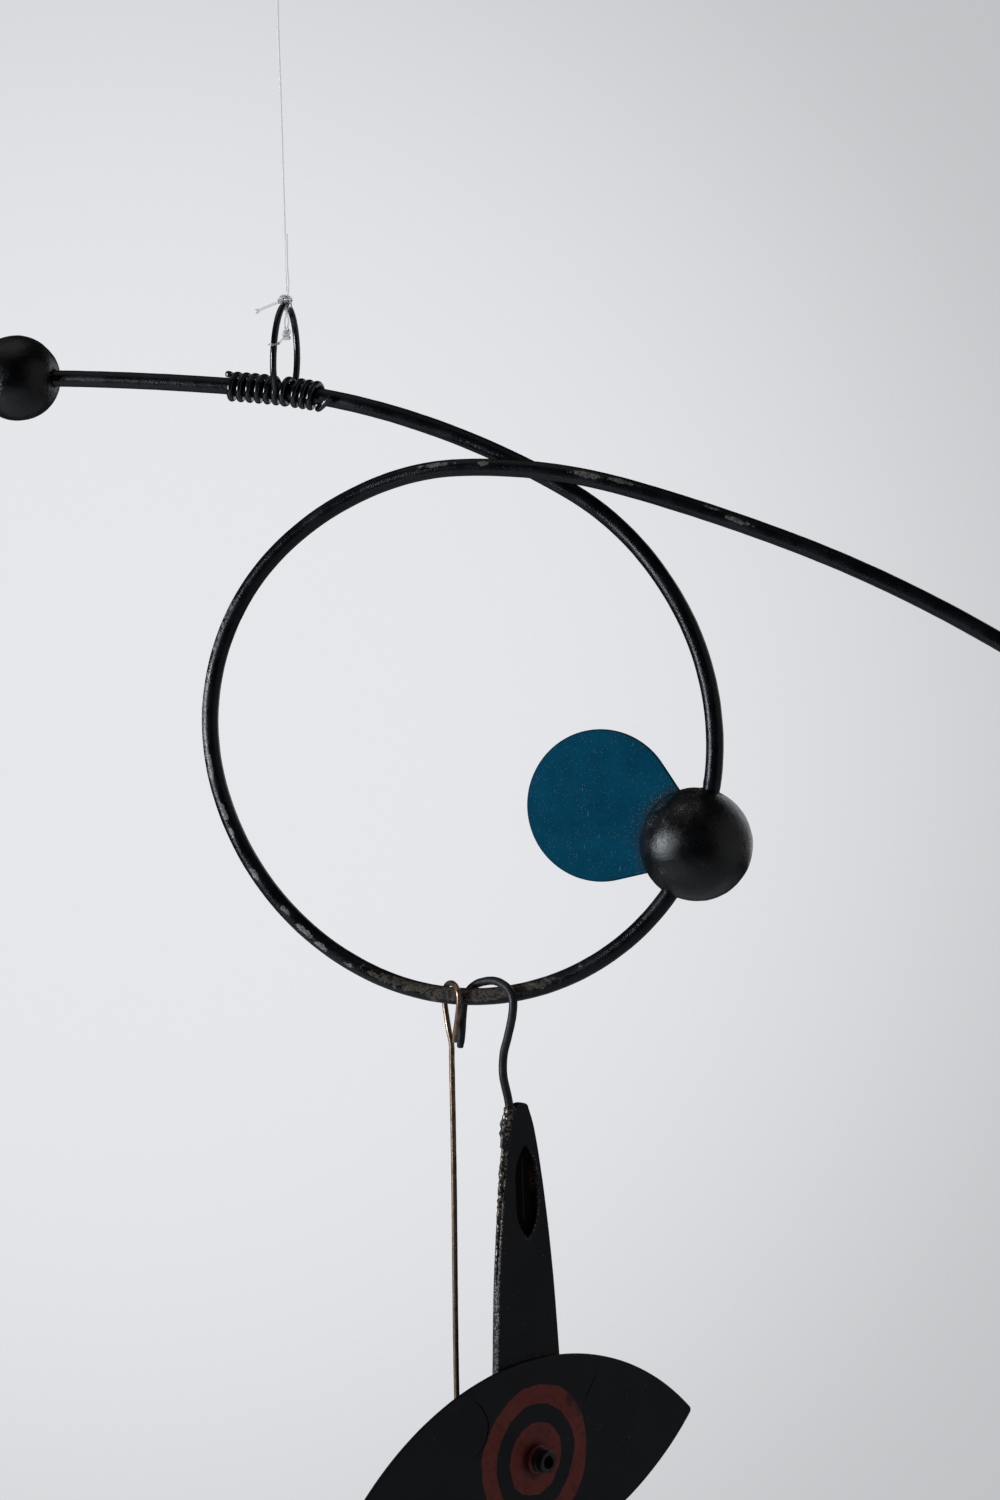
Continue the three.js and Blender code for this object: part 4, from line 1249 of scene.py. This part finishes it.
class MakePendant(bpy.types.Operator):
    """Bend the pendant's bronze wire with its closed eye"""
    bl_idname = "mobile.make_pendant"
    bl_label = "Pendant wire"

    def execute(self, context):
        sizes, colours, rod = given(context)
        middle = rod.at(rod.bottom + PENDANT_FROM_BOTTOM)[0]
        radius = sizes.pendant_wire_diameter / 2
        height = sizes.rod_diameter / 2 + GAP + radius
        half = height / math.sin(math.radians(PENDANT_TURN)) + PENDANT_EYE_SLACK
        flank = [(half * share, PENDANT_EYE_DROP * drop) for share, drop in PENDANT_FLANK]
        arch = [(half * math.cos(math.pi * (1 - i / 8)), height * math.sin(math.pi * (1 - i / 8)))
                for i in range(9)]
        eye = [(-PENDANT_SHANK, -PENDANT_EYE_DROP * 1.4), (-PENDANT_SHANK, -PENDANT_EYE_DROP * 1.05)]
        eye += [(-along, up) for along, up in reversed(flank)] + arch + flank
        eye.append((PENDANT_END, -PENDANT_EYE_DROP))
        line = through([tuple(in_plane(middle, PENDANT_TURN, along, up)) for along, up in eye], 0.0009)
        foot = np.array(tuple(in_plane(middle, PENDANT_TURN, -PENDANT_SHANK, -PENDANT_LENGTH)))
        straight = np.linspace(foot, line[0], 260, endpoint=False)
        whole = np.vstack([straight, line])
        drop = np.clip((middle.z - whole[:, 2]) / PENDANT_LENGTH, 0, 1)
        whole[:, 0] += 0.0003 * np.sin(drop * 9) * drop * (1 - drop) * 4
        piece = swept("pendant_bronze_wire", whole, radius, 20, bevel=0.0002,
                      relief=lambda points: (grain(points, 0.006, 0.00008)
                                             + grain(points, 0.0016, 0.00004, seed=5)))
        placed(dress(piece, metal_finish("tarnished_bronze", colours.tarnish, 0.3, 1.3, 0.35)),
               "tarnished_bronze", "pendant_wire")
        return {"FINISHED"}


def blade_half(height):
    """Half width of the blade at a height above the post"""
    side = blade_side()
    return float(np.interp(height, side[:, 1], side[:, 0]))


def blade_side():
    spread = BLADE_BASE_HALF - BLADE_TOP_HALF
    points = [(BLADE_TOP_HALF + width * spread, BLADE_HEIGHT * height, 0) for height, width in BLADE_SIDE]
    return through(points, 0.002)[:, :2]


def blade_edge(rod, height, out, thickness):
    lean = math.radians(BLADE_LEAN)
    along = -blade_half(height) - out
    local = Vector((along * math.cos(lean) - height * math.sin(lean), GAP + thickness / 2,
                    along * math.sin(lean) + height * math.cos(lean)))
    return hanger_matrix(rod) @ local


class MakeHook(bpy.types.Operator):
    """Bend the hook and melt its braze down the blade's side"""
    bl_idname = "mobile.make_hook"
    bl_label = "Hook and braze"

    def execute(self, context):
        sizes, colours, rod = given(context)
        radius = sizes.hook_wire_diameter / 2
        seat = sizes.rod_diameter / 2 + GAP + radius
        origin = rod.at(rod.bottom + HOOK_FROM_BOTTOM)[0]
        line = [in_plane(origin, HOOK_TURN, along * HOOK_HALF_WIDTH, up * size)
                for part, size in ((HOOK_TIP, HOOK_TIP_DROP), (HOOK_RISE, seat), (HOOK_FALL, seat),
                                   (HOOK_NECK, HOOK_NECK_DROP)) for along, up in part]
        line += [blade_edge(rod, BLADE_HEIGHT * share, radius * 0.55, sizes.blade_thickness)
                 for share in HOOK_LEG_SHARES]
        route = through([tuple(p) for p in line], 0.0008)
        run = np.linspace(0, 1, len(route))
        radii = radius * (1 - 0.22 * (1 - smooth_step(run, 0, 0.03)) - 0.3 * smooth_step(run, 0.93, 1))
        wire = swept("hook_bent_wire", route, radii, 24, bevel=0.0003,
                     relief=lambda points: (grain(points, 0.005, 0.0001)
                                            + grain(points, 0.0014, 0.00005, seed=3)))
        steel = metal_finish("hook_steel", colours.steel, 0.42, 1.4, 0.4, metallic=0.25)
        placed(dress(wire, steel), "brazed_steel", "hook_wire")

        heights = np.linspace(BLADE_HEIGHT * 0.995, BLADE_HEIGHT * 0.985 - BRAZE_LENGTH, 260)
        share = np.linspace(0, 1, len(heights))
        out = 0.0002 + 0.0008 * (1 - smooth_step(share, 0.14, 0.26))
        path = np.array([tuple(blade_edge(rod, h, o, sizes.blade_thickness)) for h, o in zip(heights, out)])
        base = 0.0013 + 0.0011 * (1 - smooth_step(share, 0.12, 0.24))
        base = base * (1 - 0.6 * smooth_step(share, 0.4, 1)) * smooth_step(share, -0.02, 0.02)
        wave = np.array([noise.noise(Vector((s * 34, 0, 0))) for s in share])

        def lumps(points):
            shallow = grain(points, 0.0034, 0.0009, 2, 7) + 0.0005
            return shallow + grain(points, 0.0012, 0.0006, 3, 8) + 0.00025

        braze = swept("braze_lumps", path, base * (1 + 0.28 * wave), 36, relief=lumps)
        placed(dress(braze, self.braze_finish(colours)), "brazed_steel")
        return {"FINISHED"}

    @staticmethod
    def braze_finish(colours):
        finish = Finish("braze_metal", colours.braze, 0.45, metallic=0.8)
        lumps = finish.noise(0.0015, 5, 0.7)
        tone = finish.blend(finish.range(lumps, 0.46, 0.64), scaled(colours.braze, 0.05), colours.braze)
        brown = finish.range(finish.noise(0.0045, 4), 0.46, 0.62)
        tone = finish.blend(finish.times(brown, 0.8), tone, BRAZE_BROWN)
        finish.feed("Base Color", tone)
        finish.feed("Roughness", finish.range(lumps, 0.3, 0.7, 0.65, 0.35))
        finish.bump(finish.noise(0.0007, 5, 0.7), 0.0002, 0.8)
        return finish.material


def circle(radius, count):
    angles = np.arange(count) * 2 * math.pi / count
    return np.column_stack([radius * np.cos(angles), radius * np.sin(angles)])


class MakeBlade(bpy.types.Operator):
    """Cut the blade with its pointed slot"""
    bl_idname = "mobile.make_blade"
    bl_label = "Blade"

    def execute(self, context):
        sizes, colours, rod = given(context)
        thickness = sizes.blade_thickness
        side = blade_side()
        base = [(BLADE_BASE_HALF * math.cos(a), BLADE_BASE_HALF * math.sin(a))
                for a in np.linspace(math.pi, 2 * math.pi, 60)]
        top = [(BLADE_TOP_HALF * c, BLADE_HEIGHT * 0.985 + BLADE_HEIGHT * 0.015 * s) for c, s in
               ((math.cos(a), math.sin(a)) for a in np.linspace(0, math.pi, 14)[1:-1])]
        loop = np.array(base + [tuple(p) for p in side[1:]] + top + [(-x, y) for x, y in side[:0:-1]])
        width, length = SLOT
        half, end = width / 2, length / 2
        right = self.curved([(0, -end), (half, -end * 0.72), (half, -end * 0.3)], 14)
        right += [(half, y) for y in np.linspace(-end * 0.3, end * 0.25, 10)[1:-1]]
        right += self.curved([(half, end * 0.25), (half, end * 0.7), (0, end)], 14)
        slot = np.array(right + [(-x, y) for x, y in right[-2:0:-1]]) + (SLOT_RIGHT, SLOT_HEIGHT)
        hole = circle(POST_SHANK + GAP, 48)
        front, rounding = GAP, 0.0006
        sheet = Sheet()
        sheet.walls(loop, rounded(rounding, thickness, front))
        floor = front + SLOT_DEPTH
        sheet.walls(slot, [(-0.0007, front), (-0.0003, front + 0.0002), (0, front + 0.0008),
                           (0.0001, floor - 0.0003), (0.0004, floor)], outwards=False)
        sheet.walls(hole, [(0, front), (0, front + thickness)], outwards=False)
        near, far = inset(loop, rounding), inset(loop, rounding + 0.0006)
        sheet.face(near, [inset(slot, -0.0007), hole], front, 0.0028, False, [far, inset(slot, -0.0012)])
        sheet.face(near, [hole], front + thickness, 0.0036, True, [far])
        sheet.face(inset(slot, 0.0004), [], front + SLOT_DEPTH, 0.002, False)
        matrix = hanger_matrix(rod)
        piece, local = sheet.made("blade_plate", turn=BLADE_LEAN, matrix=matrix,
                                  relief=lambda p: grain(p * (1, 0, 1), 0.03, 0.0003) + 0.00015)
        x, y, z = local.T
        edge = np.array([blade_half(v) for v in np.clip(z, 0, BLADE_HEIGHT)])
        # The left edge is partly worn bare and partly a painted highlight, and the slot's right lip gets a
        # painted highlight
        left = 1 - smooth_step(x + edge, 0.0003, 0.0008)
        flat = np.column_stack([x, z])
        lip = inside(inset(slot, -0.0008), flat) & ~inside(inset(slot, -0.0001), flat) & (y < front + 0.001)
        lit = 0.8 * lip * smooth_step(x - (z - SLOT_HEIGHT) * 0.12, SLOT_RIGHT - 0.001, SLOT_RIGHT + 0.004)
        mark(piece, "rim", np.maximum(left * (0.45 + 0.55 * smooth_step(z, 0.03, 0.09)), lit))
        # Painted shade over the inside of the slot
        within = inside(inset(slot, -0.0001), flat)
        mark(piece, "deep", within * smooth_step(y, front + 0.0005, front + 0.0016))
        wall = smooth_step(x, SLOT_RIGHT + half * 0.6, SLOT_RIGHT + half * 0.95) * within
        mark(piece, "spot", wall * smooth_step(z, SLOT_HEIGHT - 0.002, SLOT_HEIGHT + 0.003)
             * (1 - smooth_step(z, SLOT_HEIGHT + 0.009, SLOT_HEIGHT + 0.013)))
        dress(piece, plate_finish("blade_paint", colours, False))
        placed(piece, "plate_paint", "blade")
        return {"FINISHED"}

    @staticmethod
    def curved(points, steps):
        (ax, ay), (bx, by), (cx, cy) = points
        shares = np.linspace(0, 1, steps)
        return [((1 - t) ** 2 * ax + 2 * t * (1 - t) * bx + t * t * cx,
                 (1 - t) ** 2 * ay + 2 * t * (1 - t) * by + t * t * cy) for t in shares]


class MakePlate(bpy.types.Operator):
    """Cut the eye-shaped plate and paint its rings"""
    bl_idname = "mobile.make_plate"
    bl_label = "Eye plate"

    def execute(self, context):
        sizes, colours, rod = given(context)
        thickness = sizes.plate_thickness
        rise = PLATE_ARC_RADIUS - PLATE_HEIGHT / 2
        inner = PLATE_ARC_RADIUS - PLATE_CORNER_RADIUS
        corner = math.sqrt(inner * inner - rise * rise)
        swing = math.atan2(corner, rise)
        quarter = math.pi / 2

        def arc(x, y, radius, start, end, steps):
            return [(x + radius * math.cos(a), y + radius * math.sin(a))
                    for a in np.linspace(start, end, steps)]

        loop = arc(0, -rise, PLATE_ARC_RADIUS, quarter - swing, quarter + swing, 90)
        loop += arc(-corner, 0, PLATE_CORNER_RADIUS, quarter + swing, 3 * quarter - swing, 12)[1:-1]
        loop += arc(0, rise, PLATE_ARC_RADIUS, 3 * quarter - swing, 3 * quarter + swing, 90)
        loop += arc(corner, 0, PLATE_CORNER_RADIUS, swing - quarter, quarter - swing, 12)[1:-1]
        loop = np.array(loop)
        hole = circle(POST_SHANK + GAP, 48)
        rounding = 0.0005
        sheet = Sheet()
        sheet.walls(loop, rounded(rounding, thickness, -thickness))
        sheet.walls(hole, [(0, -thickness), (0, 0)], outwards=False)
        near, far = inset(loop, rounding), inset(loop, rounding + 0.0006)
        sheet.face(near, [hole], -thickness, 0.0021, False, [far])
        sheet.face(near, [hole], 0, 0.0035, True, [far])
        piece, local = sheet.made("eye_plate_painted", relief=lambda p: grain(p * (1, 0, 1), 0.035, 0.0003),
                                  turn=PLATE_TILT, matrix=hanger_matrix(rod))
        mark(piece, "rim", np.zeros(len(local)))
        x, y, z = local.T
        mark(piece, "front", np.where(y < -thickness / 2, 1.0, 0.0))
        bearing = np.degrees(np.arctan2(z, x))
        smear = (1 - smooth_step(np.abs(bearing - 38), 6, 17)) * smooth_step(np.hypot(x, z), 0.028, 0.032)
        mark(piece, "smear", smear * 0.8)
        dress(piece, plate_finish("eye_plate_paint", colours, True))
        placed(piece, "plate_paint", "eye_plate")
        self.crack(PLATE_CRACKS, -thickness, hanger_matrix(rod), colours)
        return {"FINISHED"}

    @staticmethod
    def crack(lines, depth, matrix, colours):
        """Hairline cracks in the paint, as fine dark creases"""
        creases = []
        lean = Matrix.Rotation(math.radians(-PLATE_TILT), 3, "Y")
        for index, line in enumerate(lines):
            route = through([(x, depth - 0.00012, z) for x, z in line], 0.0006)
            jitter = np.array([noise.noise(Vector((point[0], point[2], index)) * 900) for point in route])
            route[:, 0] += jitter * 0.0003
            placed_route = [tuple(matrix @ (lean @ Vector(point))) for point in route]
            width = 0.0003 * np.sin(np.linspace(0.5, math.pi - 0.2, len(route)))
            creases.append(swept(f"crack_{index}", placed_route, width, 6))
        piece = merged("plate_cracks", creases)
        finish = Finish("crack_shadow", scaled(colours.plate_paint, 0.1), 0.9, specular=0.05)
        finish.feed("Roughness", finish.range(finish.noise(0.001), 0.3, 0.7, 0.8, 1.0))
        placed(dress(piece, finish.material), "plate_paint")


class MakePost(bpy.types.Operator):
    """Turn the post that joins plate and blade"""
    bl_idname = "mobile.make_post"
    bl_label = "Centre post"

    def execute(self, context):
        sizes, colours, rod = given(context)
        front = -sizes.plate_thickness - GAP
        back = sizes.blade_thickness + 2 * GAP
        collar, collar_length = POST_COLLAR
        bore, depth = POST_BORE
        head, head_length = POST_HEAD
        tip = front - POST_REACH
        soft = 0.00035
        profile = [
            (1e-6, tip + depth), (bore - soft, tip + depth), (bore, tip + depth - soft), (bore, tip + soft),
            (bore + soft, tip), (POST_END - soft, tip), (POST_END, tip + soft), (POST_END, tip + 0.0034),
            (POST_STEP, tip + 0.0038), (POST_STEP, front - collar_length - soft),
            (POST_STEP + soft * 0.5, front - collar_length), (collar - soft, front - collar_length),
            (collar, front - collar_length + soft), (collar, front - soft), (collar - soft, front),
            (POST_SHANK, front), (POST_SHANK, back), (head - soft, back), (head, back + soft),
            (head, back + head_length * 0.55), (head - 0.0006, back + head_length * 0.85),
            (head - 0.0015, back + head_length), (1e-6, back + head_length),
        ]
        sides, points = 64, []
        for out, along in profile:
            for j in range(sides):
                angle = 2 * math.pi * j / sides
                points.append((out * math.cos(angle), along, out * math.sin(angle)))
        matrix = hanger_matrix(rod)
        local = np.array(points)
        final = [tuple(matrix @ Vector(p)) for p in local]
        piece = shaped("centre_post_turned", final, strips(len(profile), sides), 40)
        y, foot = local[:, 1], front - collar_length
        mark(piece, "collar", smooth_step(y, foot - 0.0006, foot) * (y < 0))
        finish, tone = brushed_paint("post_paint", scaled(colours.plate_paint, 0.5), 0.34, 0.0006)
        red = finish.blend(finish.noise(0.002, 4), scaled(colours.ring_paint, 0.35),
                           scaled(colours.ring_paint, 1.1))
        finish.feed("Base Color", finish.blend(finish.attribute("collar"), tone, red))
        placed(dress(piece, finish.material), "post_paint", "centre_post")
        return {"FINISHED"}


class MobilePanel(bpy.types.Panel):
    bl_idname = "VIEW3D_PT_mobile"
    bl_label = "Hanging Mobile"
    bl_space_type = "VIEW_3D"
    bl_region_type = "UI"
    bl_category = "Mobile"

    def draw(self, context):
        layout = self.layout
        for operator in OPERATORS:
            layout.operator(operator.bl_idname)
        scene = context.scene
        for title, group in (("Sizes", scene.mobile_sizes), ("Colours", scene.mobile_colours)):
            box = layout.box()
            box.label(text=title)
            for name in group.__annotations__:
                box.prop(group, name)


OPERATORS = (MakeStage, MakeLine, MakeRod, MakeEyeWire, MakeBalls, MakePetal, MakePendant, MakeHook,
             MakeBlade, MakePlate, MakePost)
CLASSES = (MobileSizes, MobileColours, *OPERATORS, MobilePanel)


def register():
    for each in CLASSES:
        bpy.utils.register_class(each)
    bpy.types.Scene.mobile_sizes = bpy.props.PointerProperty(type=MobileSizes)
    bpy.types.Scene.mobile_colours = bpy.props.PointerProperty(type=MobileColours)


def unregister():
    del bpy.types.Scene.mobile_colours
    del bpy.types.Scene.mobile_sizes
    for each in reversed(CLASSES):
        bpy.utils.unregister_class(each)


def main():
    register()
    bpy.ops.mobile.make_stage()
    bpy.ops.mobile.make_line()
    bpy.ops.mobile.make_rod()
    bpy.ops.mobile.make_eye_wire()
    bpy.ops.mobile.make_balls()
    bpy.ops.mobile.make_petal()
    bpy.ops.mobile.make_pendant()
    bpy.ops.mobile.make_hook()
    bpy.ops.mobile.make_blade()
    bpy.ops.mobile.make_plate()
    bpy.ops.mobile.make_post()


if __name__ == "__main__":
    main()
